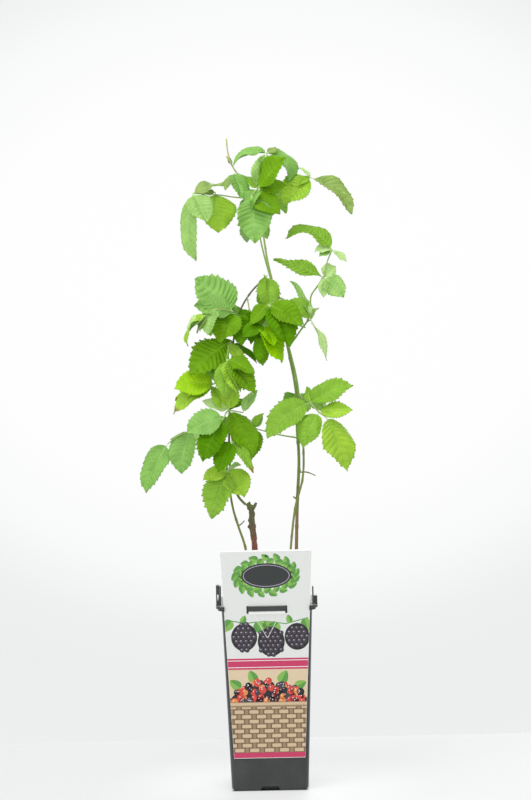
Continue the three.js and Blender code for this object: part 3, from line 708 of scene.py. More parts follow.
GREEN_STOPS = [(0.0, "86703a"), (0.12, "74763a"), (0.3, "6f8038"), (0.5, "74963a"), (0.9, "93a858")]
RED_STOPS = [(0.0, "804a3b"), (0.1, "84563c"), (0.2, "7d6c3a"), (0.32, "6f8238"), (0.6, "7f9c44"),
             (0.95, "adb478")]
OLD_STOPS = [(0.0, "944f41"), (0.14, "8a493b"), (0.17, "784a39"), (0.195, "64573a"), (0.24, "64703c")]
DARK_STOPS = [(0.2, "6a7a3e"), (0.45, "6f6a45"), (0.6, "66603f"), (0.8, "5b5a3a")]
green_skin = stem_skin("green_stem_skin", GREEN_STOPS, 0.3, 0.35)
red_bark = stem_skin("red_brown_bark", RED_STOPS, 0.45, 0.6)
old_bark = stem_skin("old_fissured_bark", OLD_STOPS, 0.75, 1.0)
dark_skin = stem_skin("dark_shoot_skin", DARK_STOPS, 0.3, 0.35)


def cut_wood_face():
    """Cut wood: a pale, dry, matt face that has weathered in small blotches."""
    material, tree, output, places = new_material("dry_cut_wood")
    # Blotches are about a millimetre across
    blotches = add_node(tree, "TexNoise", {"Vector": places, "Scale": 900.0, "Detail": 3.0})
    tone = add_node(tree, "ValToRGB", {"Fac": blotches.outputs["Fac"]},
                    stops=[(0.3, "9c8567"), (0.6, "c7b08b"), (0.8, "8a6f52")])
    shader = add_node(tree, "BsdfPrincipled", {"Base Color": tone.outputs["Color"], "Roughness": 0.85})
    tree.links.new(shader.outputs["BSDF"], output.inputs["Surface"])
    return material


cut_wood = cut_wood_face()
print("stem skins:", *(skin.name for skin in (green_skin, red_bark, old_bark, dark_skin, cut_wood)))

# %% The stems' lines
SOIL = 188.3


def taper(start, end):
    """A radius that changes evenly from one end to the other."""
    return lambda share: start + (end - start) * share


def flared(start, end):
    """A stem swells a little where it meets its roots."""
    return lambda share: taper(start, end)(share) * (1 + 0.35 * math.exp(-share * 30))


def gnarled(share):
    """The old stem swells at its foot and again where it was cut back."""
    return 2.3 + 0.6 * math.exp(-share * 25) + 0.9 * math.sin(math.pi * share ** 3) - 0.4 * share ** 6


STEMS = dict(
    right_stem=dict(
        route=[(32, 6, SOIL), (34, 5, 260), (36, 4, 310), (38.5, 2, 355), (37, 2, 395), (37, 2, 428),
               (29, 3, 476), (20, 3, 520), (8, 2, 575), (2, 1, 615), (-9, -1, 650), (-28, -3, 678),
               (-33, -4, 693), (-34.5, -5, 709)],
        radius=flared(2.0, 0.8), skin=red_bark,
        stubs=[([(37.7, 2.6, 341), (47, -4, 341), (56, -8, 337.5)], 0.8),
               ([(36, 4, 312), (33, -1, 313), (31.5, -3, 314.5)], 1.1),
               ([(-28, -3, 678), (-31, -6, 683), (-35, -8, 689.5)], 0.9)]),
    right_thin_stem=dict(
        route=[(22, -10, SOIL), (27.5, -9, 259), (33.5, -6, 303), (42, -7, 335), (43.5, -7, 365),
               (41, -7, 400), (38, -7, 440), (27, -6, 490), (15, -6, 540), (4, -8, 582), (-2, -9, 612)],
        radius=flared(1.3, 0.9), skin=green_skin, stubs=[]),
    left_thin_stem=dict(
        route=[(-17, -12, SOIL), (-22, -13, 259), (-29.5, -13, 284), (-35, -13, 304), (-40, -10, 340),
               (-44, -8, 380), (-47, -8, 398)],
        radius=flared(1.4, 1.0), skin=green_skin,
        stubs=[([(-29.5, -13, 284), (-26, -15, 286.5), (-22.5, -16, 290)], 0.8)]),
    old_stem=dict(
        route=[(-9, 2, SOIL), (-12, 1, 258), (-14.5, 0, 285), (-15.5, 0, 301), (-19.5, -1, 308)],
        radius=gnarled, skin=old_bark,
        stubs=[([(-15.5, 0, 298), (-12.5, -1, 303), (-9.5, -2, 308.5)], 2.0)]),
    left_shoot=dict(
        route=[(-21.7, -1.2, 307), (-29, -3, 316), (-36, 0, 335), (-38, 4, 370), (-37, 3, 410),
               (-34, 2, 450), (-31, 0, 487), (-25, -1, 515), (-13, -3, 537), (4, -6, 555)],
        radius=taper(1.4, 0.9), skin=dark_skin, stubs=[]),
    upper_right_shoot=dict(
        route=[(30.4, 2.5, 480), (43, -3, 497), (51, -6, 508), (54, -8, 521), (55, -9, 534),
               (61, -10, 543), (66, -10, 549)],
        radius=taper(1.0, 0.8), skin=green_skin, stubs=[]),
)
stem_lines = {name: smooth_line(stem["route"]) for name, stem in STEMS.items()}
for name, line in stem_lines.items():
    print(name, round(line.length), "mm long")

# %% Ribs, joints and bark
JOINT_SPACING = 31
RING_SPACING = 1.6


def stem_relief(name, length, seed):
    """Five soft ribs, a swollen joint every few centimetres and fine unevenness; old bark is knobby."""
    rough = 0.3 if name == "old_stem" else 0.06
    knobs = 1.5 if name == "old_stem" else 0

    def relief(share, angle):
        along = share * length
        joint = math.cos(math.pi * along / JOINT_SPACING + seed) ** 2
        swelling = 0.22 * joint ** 24 * (1 + 0.6 * math.cos(angle - 2.4 * round(along / JOINT_SPACING)))
        ribs = 0.05 * math.cos(5 * angle + 0.004 * along)
        grain = noise.noise(Vector((math.cos(angle) * 1.6, math.sin(angle) * 1.6, along / 7 + seed)))
        fissures = noise.noise(Vector((math.cos(angle) * 4, math.sin(angle) * 4, along / 16 + seed)))
        knob = noise.noise(Vector((math.cos(angle) * 1.2, math.sin(angle) * 1.2, along / 4.2 - seed)))
        return swelling + ribs + rough * (grain + 0.8 * fissures) + knobs * max(knob, 0) * share ** 2

    return relief


for index, (name, stem) in enumerate(STEMS.items()):
    stem_mesh = bmesh.new()
    line = stem_lines[name]
    steps = max(int(line.length / RING_SPACING), 20)
    relief = stem_relief(name, line.length, index)
    add_rod(stem_mesh, line, stem["radius"], sides=15, steps=steps, relief=relief)
    for route, width in stem["stubs"]:
        branch = smooth_line(route)
        add_rod(stem_mesh, branch, taper(width, width * 0.7), sides=10, steps=12,
                relief=stem_relief(name, branch.length, index + 5))
    # Only the rods' ends have more than four corners
    caps = [face for face in stem_mesh.faces if len(face.verts) > 4]
    for face in caps:
        face.material_index = 1
    bmesh.ops.inset_individual(stem_mesh, faces=caps, thickness=0.12, depth=0.05)
    finish_piece(name + "_bark", stem_mesh, [stem["skin"], cut_wood], [name])

# %% [markdown]
# ## The leaves
#
# A boysenberry leaf has a stalk and three or five leaflets. A leaflet is egg-shaped with a drawn-out tip and
# a doubly toothed margin. Ten side veins on each side run forward to the large teeth, and the blade is
# pleated between them. A flat card with a see-through picture would be lighter, but its pleats and its edge
# would be painted. So each leaflet is a fine grid whose rows run along the veins, and pleats and teeth are
# real shape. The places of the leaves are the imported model's own.

# %% The leaf table
# A leaflet is heading, rise, length, bend, face and the width's share of its length. Heading 0 is right,
# 90 back and -90 front; rise is the slope from root to tip; face is how far the upper side rolls forward.
def fan(heading, rise, length, count, seed):
    """The leaflets of a leaf that spreads evenly: one at the end and one or two pairs behind it."""
    spread = [(0, 0, 1), (66, 8, 0.82), (-66, 8, 0.82), (122, 16, 0.62), (-122, 16, 0.62)]
    return [[heading + turn + 9 * shake(seed + i), rise - drop + 8 * shake(seed + i + 7),
             length * share * (1 + 0.1 * shake(seed + i + 13)), 32 + 12 * shake(seed + i + 19),
             12 * shake(seed + i + 29)] for i, (turn, drop, share) in enumerate(spread[:count])]


SPRAYS = dict(
    crown_tip=dict(limb="right_stem", height=640, leaves=[
        dict(junction=[-1, -26, 651], leaflets=[[50, 72, 40, 12, 62, 0.56],
            [-25, 43, 46, 12, 62, 0.74], [-140, -62, 34, 20, 10, 0.7], [6, 6, 31, 15, 60, 0.66]]),
        dict(after=0, junction=[-8, -33, 642], leaflets=[[-12, -33, 38, 15, 50, 0.74],
            [-76, -76, 54, 20, 0, 0.68]]),
        dict(after=0, through=[[7, -25, 668]], junction=[10, -13, 691],
            leaflets=[[180, -17, 42, 62, 34, 0.48], [15, 24, 13, 20, 40, 0.85],
            [4, -56, 45, 100, 40, 0.72]])]),
    crown_small=dict(limb="right_stem", height=667, leaves=[
        dict(junction=[-27, -13, 669], leaflets=[[-60, -58, 34, 15, 0, 0.8], [-155, -60, 21, 20, 20]])]),
    crown_left=dict(limb="right_stem", height=645, leaves=[
        dict(through=[[-22, 5, 645], [-45, 1, 648]], junction=[-72, -10, 649],
            leaflets=[[190, -91, 76, 38, 40, 0.32], [-40, -60, 39, 12, 35, 0.82],
            [22, 17, 42, 25, 30, 0.46]]),
        dict(after=0, junction=[-48, 3, 651], leaflets=[[-70, -80, 46, 18, 0, 0.94]])]),
    crown_right=dict(limb="right_stem", height=613, leaves=[
        dict(through=[[17, 6, 628], [28, 6, 647], [47, 0, 661]], junction=[57, -6, 664],
            leaflets=[[-12, -42, 64, 54, 40, 0.34], [170, 45, 17, 20, 30, 0.4],
            [192, -44, 43, 18, 50, 0.78], [186, -22, 24, 10, 50, 0.5]])]),
    upper_right=dict(limb="upper_right_shoot", height=549, leaves=[
        dict(junction=[69.5, -12, 554], leaflets=[[177, 21, 59, 10, 60, 0.3],
            [30, 42, 20, 20, 60, 0.8], [-20, -46, 32, 20, 55, 0.76], [-100, -75, 23, 15, 0, 0.52]]),
        dict(after=0, through=[[73, -11, 570]], junction=[79, -10, 584],
            leaflets=[[180, 16, 61, 98, 38, 0.33], [190, -4, 20, 40, 40, 0.76],
            [-15, -40, 21, 20, 30, 0.5]])]),
    right_middle=dict(limb="upper_right_shoot", height=506, leaves=[
        dict(junction=[54, -14, 508], leaflets=[[158, 62, 50, 35, 30, 0.2],
            [195, 36, 34, 50, 62, 0.62], [-25, -68, 49, 20, 20, 0.25], [10, 55, 17, 60, 25, 0.5]])]),
    centre_upper=dict(limb="left_shoot", height=555, leaves=[
        dict(junction=[6.5, -14, 557], leaflets=[[-72, -74, 44, 25, 10, 0.56],
            [-155, -80, 37, 15, 10, 0.42]])]),
    centre=dict(limb="right_thin_stem", height=532, leaves=[
        dict(through=[[25, -18, 531], [19, -34, 528]], junction=[8, -42, 524],
            leaflets=[[-22, -33, 46, 22, 56, 0.54], [-34, -60, 54, 20, 35, 0.62],
            [188, -48, 30, 20, 40]]),
        dict(after=0, through=[[6, -46, 514]], junction=[3, -42, 502],
            leaflets=[[-35, -62, 47, 15, 15, 0.6], [-58, -50, 30, 15, 10, 0.7], [160, 58, 22, 10, 60],
            [-130, -76, 43, 12, 0, 0.42], [192, -28, 27, 20, 45, 0.8]])]),
    inner=dict(limb="left_shoot", height=534, leaves=[
        dict(junction=[-13, -13, 521], leaflets=[[-80, -76, 40, 15, 0, 0.52],
            [-165, -52, 24, 15, 40, 0.6]]),
        dict(after=0, through=[[-4, -16, 506]], junction=[-3, -17, 484],
            leaflets=[[-70, -66, 28, 15, 20, 0.6]])]),
    left_upper=dict(limb="left_shoot", height=510, leaves=[
        dict(junction=[-30, -26, 517], leaflets=[[166, 42, 58, 15, 58, 0.76],
            [193, 10, 44, 15, 58, 0.62], [-132, -56, 40, 20, 20, 0.86], [-58, -64, 40, 15, 20, 0.66]]),
        dict(after=0, through=[[-40, -34, 520]], junction=[-50, -38, 520],
            leaflets=[[-125, -64, 31, 20, 0, 0.78]]),
        dict(after=1, junction=[-58, -38, 514], leaflets=[[183, -56, 46, 100, 24, 0.32],
            [178, -38, 28, 30, 30, 0.6]])]),
    left_middle=dict(limb="left_shoot", height=478, leaves=[
        dict(junction=[-34, -28, 485], leaflets=[[194, -37, 58, 20, 58, 0.64],
            [-45, -62, 27, 15, 0, 0.76]]),
        dict(after=0, through=[[-36, -40, 478]], junction=[-38, -46, 466],
            leaflets=[[-100, -76, 44, 15, 0, 0.55], [-55, -65, 41, 10, 10, 0.5],
            [-32, -64, 40, 15, 20, 0.5], [-22, -28, 36, 20, 40, 0.62], [-14, -50, 48, 12, 50, 0.54]])]),
    left_side=dict(limb="left_shoot", height=446, leaves=[
        dict(junction=[-52, -24, 440], leaflets=[[188, -33, 56, 20, 40, 0.38],
            [190, -5, 45, 25, 52, 0.76], [174, -22, 48, 40, 45, 0.5]])]),
    left_lower=dict(limb="left_shoot", height=405, leaves=[
        dict(junction=[-37, -30, 411], leaflets=[[158, 52, 34, 15, 50, 0.62],
            [60, 74, 36, 10, 40, 0.6], [180, 20, 31, 20, 60, 0.42], [-34, -61, 62, 25, 25, 0.52]]),
        dict(after=0, junction=[-22, -27, 408], leaflets=[[20, 55, 30, 15, 45, 0.42]]),
        dict(after=0, through=[[-40, -42, 408]], junction=[-42, -50, 403],
            leaflets=[[192, -21, 44, 25, 58, 0.74], [-150, -60, 54, 20, 40, 0.54]]),
        dict(after=0, through=[[-36, -40, 395]], junction=[-34, -50, 378],
            leaflets=[[-140, -60, 38, 15, 30, 0.66], [-22, -54, 42, 10, 30, 0.3]])]),
    crossing=dict(limb="right_stem", height=379, leaves=[
        dict(through=[[16, -3, 383], [2, -7, 387]], junction=[-12, -10, 391],
            leaflets=[[30, 44, 19, 20, 50, 0.6], [-88, -62, 36, 15, 0, 0.6],
            [170, -46, 34, 15, 40, 0.6]])]),
    left_outer=dict(limb="left_thin_stem", height=398, leaves=[
        dict(through=[[-62, -8, 396]], junction=[-80, -16, 389],
            leaflets=[[-136, -73, 49, 25, 20, 0.66], [120, -40, 42, 30, 0]]),
        dict(after=0, through=[[-93, -17, 384]], junction=[-104, -18, 376],
            leaflets=[[194, -63, 60, 20, 48, 0.45]])]),
    left_foot=dict(limb="left_thin_stem", height=338, leaves=[
        dict(junction=[-39, -34, 346], leaflets=[[-148, -67, 56, 20, 20, 0.64],
            [195, -18, 30, 15, 60, 0.6], [-37, -53, 36, 15, 46, 0.86]])]),
    right_lower=dict(limb="right_stem", height=424, leaves=[
        dict(through=[[45, 0, 422], [50, -16, 419]], junction=[51, -36, 417],
            leaflets=[[195, -37, 63, 42, 58, 0.48], [-5, 22, 51, 25, 58, 0.52],
            [110, 64, 20, 10, 50, 0.6]]),
        dict(after=0, junction=[60, -42, 407], leaflets=[[-4, 3, 37, 15, 58, 0.54],
            [202, -63, 43, 15, 45, 0.68]]),
        dict(after=1, junction=[67, -45, 402], leaflets=[[-22, -67, 64, 20, 26, 0.7]])]),
    back_crown=dict(limb="right_stem", height=634, leaves=[
        dict(junction=[2, 30, 657], leaflets=fan(88, -34, 52, 5, 11))]),
    back_shoulder=dict(limb="right_stem", height=604, leaves=[
        dict(junction=[-8, 38, 622], leaflets=[[95, -14, 46, 30, 5], [108, -42, 32, 25, 0],
            [52, -34, 33, 25, 0]])]),
    back_upper=dict(limb="left_shoot", height=500, leaves=[
        dict(junction=[-38, 34, 531], leaflets=fan(118, -40, 52, 5, 31))]),
    back_centre=dict(limb="right_stem", height=505, leaves=[
        dict(junction=[18, 42, 524], leaflets=fan(68, -30, 50, 5, 43))]),
    back_middle=dict(limb="left_shoot", height=448, leaves=[
        dict(junction=[-42, 42, 470], leaflets=fan(100, -42, 54, 5, 57))]),
    back_right=dict(limb="right_stem", height=405, leaves=[
        dict(junction=[44, 38, 428], leaflets=fan(58, -28, 48, 5, 61))]),
    back_lower=dict(limb="left_shoot", height=385, leaves=[
        dict(junction=[-46, 36, 404], leaflets=fan(112, -36, 52, 5, 79))]),
    back_foot=dict(limb="left_thin_stem", height=325, leaves=[
        dict(junction=[-44, 16, 344], leaflets=fan(100, -50, 42, 3, 83))]),
)
print(sum(len(row["leaflets"]) for spray in SPRAYS.values() for row in spray["leaves"]), "leaflets planned")

# %% A leaflet's midrib
# The share of a leaflet that is its own short stalk, and the usual width as a share of the length
BLADE_START = 0.07
WIDTH_SHARE = 0.64


def midrib(root, leaflet):
    """The midrib bends evenly towards the ground; gives point, ahead, normal and side at a share of it."""
    heading, rise, length, bend, face = leaflet[:5]
    heading, rise, face = math.radians(heading), math.radians(rise), math.radians(face)
    out = Vector((math.cos(heading), math.sin(heading), 0))
    up = Vector((0, 0, 1))
    curl = max(math.radians(bend), math.radians(0.01))
    radius = length / curl
    start = rise + curl / 2
    turned = -1 if math.cos(heading) > 0 else 1
    forward = Vector((-out.y, out.x, 0)) * turned

    def at_share(share):
        slope = start - curl * share
        point = root + out * radius * (math.sin(start) - math.sin(slope))
        point = point + up * radius * (math.cos(slope) - math.cos(start))
        ahead = out * math.cos(slope) + up * math.sin(slope)
        above = up * math.cos(slope) - out * math.sin(slope)
        normal = above * math.cos(face) + forward * math.sin(face)
        return point, ahead, normal, ahead.cross(normal)

    return at_share


test_tip = midrib(Vector((0, 0, 0)), [0, 0, 50, 60, 0])(1)[0]
print("a level leaflet of 50 mm that bends by 60 degrees ends", round(test_tip.x, 1), "mm out")

# %% The leaflet's flat pattern
ROWS = 80
# Where the columns lie between midrib and margin
ACROSS = [0, 0.03, 0.14, 0.3, 0.48, 0.66, 0.84, 1]
HALF_COLUMNS = len(ACROSS) - 1
# Each side vein ends in a large tooth that has a small one below it
TOOTH = [0, 0.36, 0.5, 0.26, 0.6, 0.9, 1.0, 0.5]
VEIN_ROWS = len(TOOTH)
VEIN_OFFSET = 6
# The blade itself is the first material
RIB, FLUSHED, VALLEY_SHADE = 1, 2, 3

flat = bmesh.new()
bmesh.ops.create_grid(flat, x_segments=2 * HALF_COLUMNS, y_segments=ROWS, size=1)
# Faces along each side vein's valley get the vein finish, the blade a little darker: painted shade in the
# pleats
for face in flat.faces:
    middle = face.calc_center_median()
    row = int((middle.y + 1) / 2 * ROWS)
    if abs(middle.x) < 1 / HALF_COLUMNS:
        face.material_index = RIB
    elif row % VEIN_ROWS == VEIN_OFFSET and abs(middle.x) < (HALF_COLUMNS - 1) / HALF_COLUMNS:
        face.material_index = VALLEY_SHADE
leaflet_pattern = bpy.data.meshes.new("leaflet_pattern")
flat.to_mesh(leaflet_pattern)
flat.free()
print("leaflet pattern:", len(leaflet_pattern.vertices), "vertices,", len(leaflet_pattern.polygons), "faces")


# %% A leaflet's habit
def leaf_outline(along):
    """Half the width along the blade: broad soon after the base, drawn out to a point at the tip."""
    bow = math.sin(math.pi * min(along, 1) ** 0.76) if along > 0 else 0
    return max(bow, 0) ** (0.66 + 0.4 * along ** 6) * (1.03 - 0.1 * along)


def pleat(row):
    """0 in a side vein's valley and 1 on the crown between two veins."""
    from_vein = abs((row - VEIN_OFFSET + VEIN_ROWS / 2) % VEIN_ROWS - VEIN_ROWS / 2)
    return math.sin(math.pi / 2 * from_vein / (VEIN_ROWS / 2)) ** 0.8


def leaf_habit(seed, own):
    """How a leaflet differs from the others; a leaflet's own habit is given for the few that stand out."""
    habit = dict(
        # The pleats' depth, the margin's waves and the blade's slow swells, as shares of the length
        pleats=0.015 + 0.008 * shake(seed + 41), waves=0.034 + 0.016 * shake(seed + 53), swells=0.09,
        # The teeth's depth, as a share of the length
        teeth=0.036 + 0.009 * shake(seed + 71),
        # The slope of each half, the turn from root to tip in degrees, and how much the tip hangs down
        fold=0.24 + 0.17 * shake(seed + 43), twist=22 * shake(seed + 47), tip=1 + shake(seed + 2),
        # The share of the blade at the tip that is flushed red-brown
        flushed_tip=0,
    )
    habit.update(own)
    return habit


def rib_shift(t):
    """Where row t meets the midrib: the rows slant forward from it to the margin."""
    return t - 0.17 * math.sin(math.pi * t)


def tip_drop(t, length, habit):
    """How far the tip hangs below the midrib's even bend."""
    return 0.5 * length * max(t - 0.8, 0) ** 2 * habit["tip"]


def rib_line(rib, length, habit):
    """The line of the round midrib that stands out below the blade, from the stalk to near the tip."""
    def at_share(share):
        if share < BLADE_START:
            return rib(share)[0]
        t = (share - BLADE_START) / (1 - BLADE_START) * 0.97
        point, ahead, normal, side = rib(BLADE_START + rib_shift(t) * (1 - BLADE_START))
        # The rod's middle lies this far below the blade, in millimetres
        sunk = min(t / 0.06, 1) * (0.68 - 0.45 * t)
        return point - normal * (sunk + tip_drop(t, length, habit))

    return at_share


print(sum(pleat(row) == 0 for row in range(ROWS)), "side veins on each side of the midrib")


# %% A point's place on the blade, and its height
def grown_out(t):
    """1 over most of the blade and 0 at its ends, where teeth and pleats fade out."""
    return min(t / 0.12, 1) * min((1 - t) / 0.06, 1)


def place_on_blade(row, column, hand, half, length, seed, habit):
    """How far a point of the pattern lies out from the midrib and along it, teeth included."""
    across = ACROSS[column]
    t = row / ROWS
    starts = rib_shift(t)
    along = starts + (t - starts) * across ** 1.25
    wide = half * leaf_outline(along) * (1 + 0.06 * hand * shake(seed + 59))
    # The first column is the rib's own edge, 0.3 mm out at the base
    if column == 1:
        across = min(0.3 * (1 - 0.6 * t) / max(wide, 0.1), 0.3)
    out = across * wide
    own_size = 1 + 0.4 * shake(seed + 61 + 7 * (row // VEIN_ROWS) + 31 * hand)
    tooth = TOOTH[row % VEIN_ROWS] * own_size * grown_out(t)
    edge = 1 if across == 1 else (0.4 if column == HALF_COLUMNS - 1 else 0)
    out += (tooth - 0.3) * edge * habit["teeth"] * min(length, 3.4 * half) * min(wide / half * 1.6, 1)
    return out, min(along + 0.016 * tooth * edge, 1), across


def height_on_blade(row, out, across, hand, length, seed, habit):
    """How far a point stands above the midrib: the fold, the pleats, the margin's waves and the swells."""
    t = row / ROWS
    grown = grown_out(t)
    inner = min(across / 0.3, 1)
    lift = habit["fold"] * out * (1.25 - 0.5 * across) * (1 + 0.4 * hand * shake(seed + 67))
    lift += (pleat(row) - 0.5) * habit["pleats"] * length * inner * (1 - 0.45 * across ** 3) * grown
    phase = 1.5 * t + shake(seed + 3 * hand + 5)
    lift += habit["waves"] * length * across ** 2 * math.sin(2 * math.pi * phase)
    swell = noise.noise(Vector((hand * out / (0.3 * length), 2.4 * t, seed)))
    lift += habit["swells"] * length * swell * inner * grown
    lift += 0.06 * shake(seed + 21 + hand) * out * across
    return lift - tip_drop(t, length, habit)


# %% Shaping a leaflet
def add_leaflet(mesh, root, leaflet, seed, own):
    """Copies the flat pattern into the mesh and moves each of its points onto the living shape."""
    rib = midrib(root, leaflet)
    habit = leaf_habit(seed, own)
    length = leaflet[2]
    share_wide = leaflet[5] if len(leaflet) > 5 else WIDTH_SHARE
    half = length * share_wide * (1 + 0.04 * shake(seed)) / 2
    one = bmesh.new()
    one.from_mesh(leaflet_pattern)
    for face in one.faces:
        middle = face.calc_center_median()
        ragged = 0.06 * noise.noise(Vector((middle.x * 3, middle.y * 6, seed)))
        if habit["flushed_tip"] and (middle.y + 1) / 2 > 1 - habit["flushed_tip"] + ragged:
            face.material_index = FLUSHED
    for vert in one.verts:
        column = round(vert.co.x * HALF_COLUMNS)
        row = round((vert.co.y + 1) / 2 * ROWS)
        hand = 1 if column > 0 else -1
        out, along, across = place_on_blade(row, abs(column), hand, half, length, seed, habit)
        lift = height_on_blade(row, out, across, hand, length, seed, habit)
        point, ahead, normal, side = rib(BLADE_START + along * (1 - BLADE_START))
        turn = math.radians(habit["twist"]) * (along - 0.35)
        side, normal = (side * math.cos(turn) + normal * math.sin(turn),
                        normal * math.cos(turn) - side * math.sin(turn))
        vert.co = point + side * (out * hand) + normal * lift
    bmesh.ops.remove_doubles(one, verts=one.verts, dist=MERGE_DISTANCE)
    scratch = bpy.data.meshes.new("leaflet")
    one.to_mesh(scratch)
    one.free()
    mesh.from_mesh(scratch)
    bpy.data.meshes.remove(scratch)


# %% [markdown]
# ### Leaf colours
#
# The leaves are young and thin. Those that face the light look a cool mid green, those lit from behind glow
# yellow-green, and those in the middle are deeper; these looks of light and shade are painted into the tints
# over the leaves' own greens. A leaf's upper skin has a soft sheen, its underside is paler and matt with a
# fine down, and some light passes through. One material with painted places would tie the tints to a picture.
# So each tint is one plain material, dealt out leaflet by leaflet, and the fine net of the smallest veins is
# a bump that is the same everywhere.

# %% Leaf skin
# A tint's colours are those of blade, rib and underside, and then its gloss
# The tints are the leaves' own greens with light and shade painted in, leaflet by leaflet: lit, pale and
# backlit yellow paint light falling on and through a leaf, cool paints the bluish cast of its sheen, and
# shade and deep paint the shade in the middle of the plant
TINTS = dict(
    lit=("a8d172", "b2d68c", "a9cf86", 0.5), pale=("cae69a", "cde8a8", "b6da94", 0.5),
    fresh=("add642", "b6dc62", "a9d06a", 0.3), backlit_yellow=("a8d61f", "c8e84a", "b2d65c", 0.12),
    mid=("92c03b", "a5ce5c", "9ac864", 0.3), shade=("79ac14", "8fbe3c", "8fc158", 0.15),
    olive=("9cd204", "a0cc36", "96bc50", 0.1), deep_shade=("619906", "7aae30", "84b84c", 0.08),
    grey=("9ab75d", "aec874", "aac67e", 0.5), cool=("8fc15c", "a6d07e", "9fca7c", 0.45),
)
FLUSHED_BROWN = "978b3a"


def leaf_skin(name, hex_text, roughness, through, gloss):
    """Leaf skin: a soft sheen over a net of the finest veins, with some light let through."""
    material, tree, output, places = new_material(name)
    # The finest veins of a bramble leaf lie about 1.5 mm apart
    net = add_node(tree, "TexVoronoi", {"Vector": places, "Scale": 620.0}, feature="DISTANCE_TO_EDGE")
    skin = add_node(tree, "Bump", {"Height": net.outputs["Distance"], "Strength": 0.25, "Distance": 0.0004})
    # A blade is lighter and darker over about a centimetre
    mottle = add_node(tree, "TexNoise", {"Vector": places, "Scale": 80.0, "Detail": 4.0, "Roughness": 0.6})
    tone = add_node(tree, "MixRGB", {"Fac": 0.34, "Color1": colour(hex_text),
                                     "Color2": mottle.outputs["Fac"]}, blend_type="OVERLAY")
    upper = add_node(tree, "BsdfPrincipled", {"Base Color": tone.outputs["Color"], "Roughness": roughness,
                                              "IOR": 1.42, "Specular IOR Level": gloss,
                                              "Normal": skin.outputs["Normal"]})
    behind = add_node(tree, "BsdfTranslucent", {"Color": tone.outputs["Color"]})
    mixed = add_node(tree, "MixShader", {0: through, 1: upper.outputs["BSDF"], 2: behind.outputs["BSDF"]})
    tree.links.new(mixed.outputs["Shader"], output.inputs["Surface"])
    return material


def darker(hex_text, share):
    """The same screen colour with every part of it lowered."""
    return "".join(f"{int(int(hex_text[i:i + 2], 16) * share):02x}" for i in (0, 2, 4))


# The underside's finishes follow the upper side's in the same order
FINISHES = 4
leaf_skins = {}
for tint, (blade, rib, under, gloss) in TINTS.items():
    # The vein finish paints shade into the pleats' valleys as a slightly darker blade; on the underside the
    # veins take the rib's colour
    finishes = [("blade", blade, 0.42, 0.35), ("rib", rib, 0.5, 0.25), ("flushed", FLUSHED_BROWN, 0.5, 0.25),
                ("vein", darker(blade, 0.93), 0.5, 0.3), ("underside", under, 0.7, 0.35),
                ("under_rib", rib, 0.7, 0.25), ("flushed_under", FLUSHED_BROWN, 0.7, 0.25),
                ("under_vein", rib, 0.7, 0.25)]
    leaf_skins[tint] = [leaf_skin(f"leaf_{tint}_{part}", hex_text, roughness, through, gloss)
                        for part, hex_text, roughness, through in finishes]
print(len(leaf_skins), "leaf tints")

# %% [markdown]
# ### Growing the leaves
#
# A spray starts on its stem, and each later leaf of it may start where an earlier one ends. Leaves could be
# scattered on the stems by chance, but then none would stand where the real ones do, so each has its row in
# the table. Stalks are rods that run into the stem's middle, and below each blade the midrib stands out as a
# thin round rod.

# %% Each leaflet's tint
# A leaflet's tint is chosen by how light falls on it as well as by its own green: painted light and shade
TINT_LETTERS = dict(l="lit", p="pale", f="fresh", y="backlit_yellow", m="mid", s="shade", d="deep_shade", g="grey",
                    o="olive", c="cool")
LEAF_TINTS = dict(
    crown_tip=["lscs", "sc", "cgc"], crown_small=["cg"], crown_left=["llg", "f"], crown_right=["gpff"],
    upper_right=["mplp", "mpp"], right_middle=["lmpg"], centre_upper=["ms"], centre=["sds", "oosdd"],
    inner=["dd", "s"], left_upper=["ccsd", "l", "fp"], left_middle=["sf", "mfmss"], left_side=["fyy"],
    left_lower=["ffps", "l", "cd", "dm"], crossing=["lss"], left_outer=["cc", "c"], left_foot=["mff"],
    right_lower=["mmm", "fm", "f"], back_crown=["mlfml"], back_shoulder=["mlm"], back_upper=["fmlmf"],
    back_centre=["mmlfm"], back_middle=["lmfmm"], back_right=["fmmfl"], back_lower=["mlffm"],
    back_foot=["mfm"],
)
dealt = "".join("".join(rows) for rows in LEAF_TINTS.values())
print("tints dealt:", {tint: dealt.count(letter) for letter, tint in TINT_LETTERS.items()})

# %% Leaflets that stand out, and the youngest
# A few leaflets are more or less pleated, toothed, folded or waved than usual, or red-brown at the tip
OWN_HABITS = {
    ("left_upper", 0, 0): dict(pleats=0.034, fold=0.16, twist=0, teeth=0.05),
    ("left_upper", 1, 0): dict(pleats=0.03),
    ("left_upper", 2, 0): dict(flushed_tip=0.08),
    ("left_middle", 0, 0): dict(pleats=0.042, twist=0, teeth=0.05),
    ("crown_left", 0, 0): dict(pleats=0.008, teeth=0.022),
    ("crown_left", 1, 0): dict(pleats=0.012, fold=0.12),
    ("right_lower", 0, 0): dict(pleats=0.009, twist=0),
    ("right_lower", 0, 1): dict(pleats=0.009, twist=0),
    ("left_side", 0, 0): dict(flushed_tip=0.1),
    ("left_side", 0, 2): dict(flushed_tip=0.06),
    ("left_outer", 0, 0): dict(pleats=0.011, fold=0.3),
    ("left_outer", 1, 0): dict(pleats=0.009, fold=0.3, flushed_tip=0.04),
    ("left_lower", 3, 1): dict(flushed_tip=0.12),
    ("crown_tip", 2, 0): dict(fold=0.4, waves=0.03),
    ("crown_tip", 2, 2): dict(fold=0.4, waves=0.03),
}
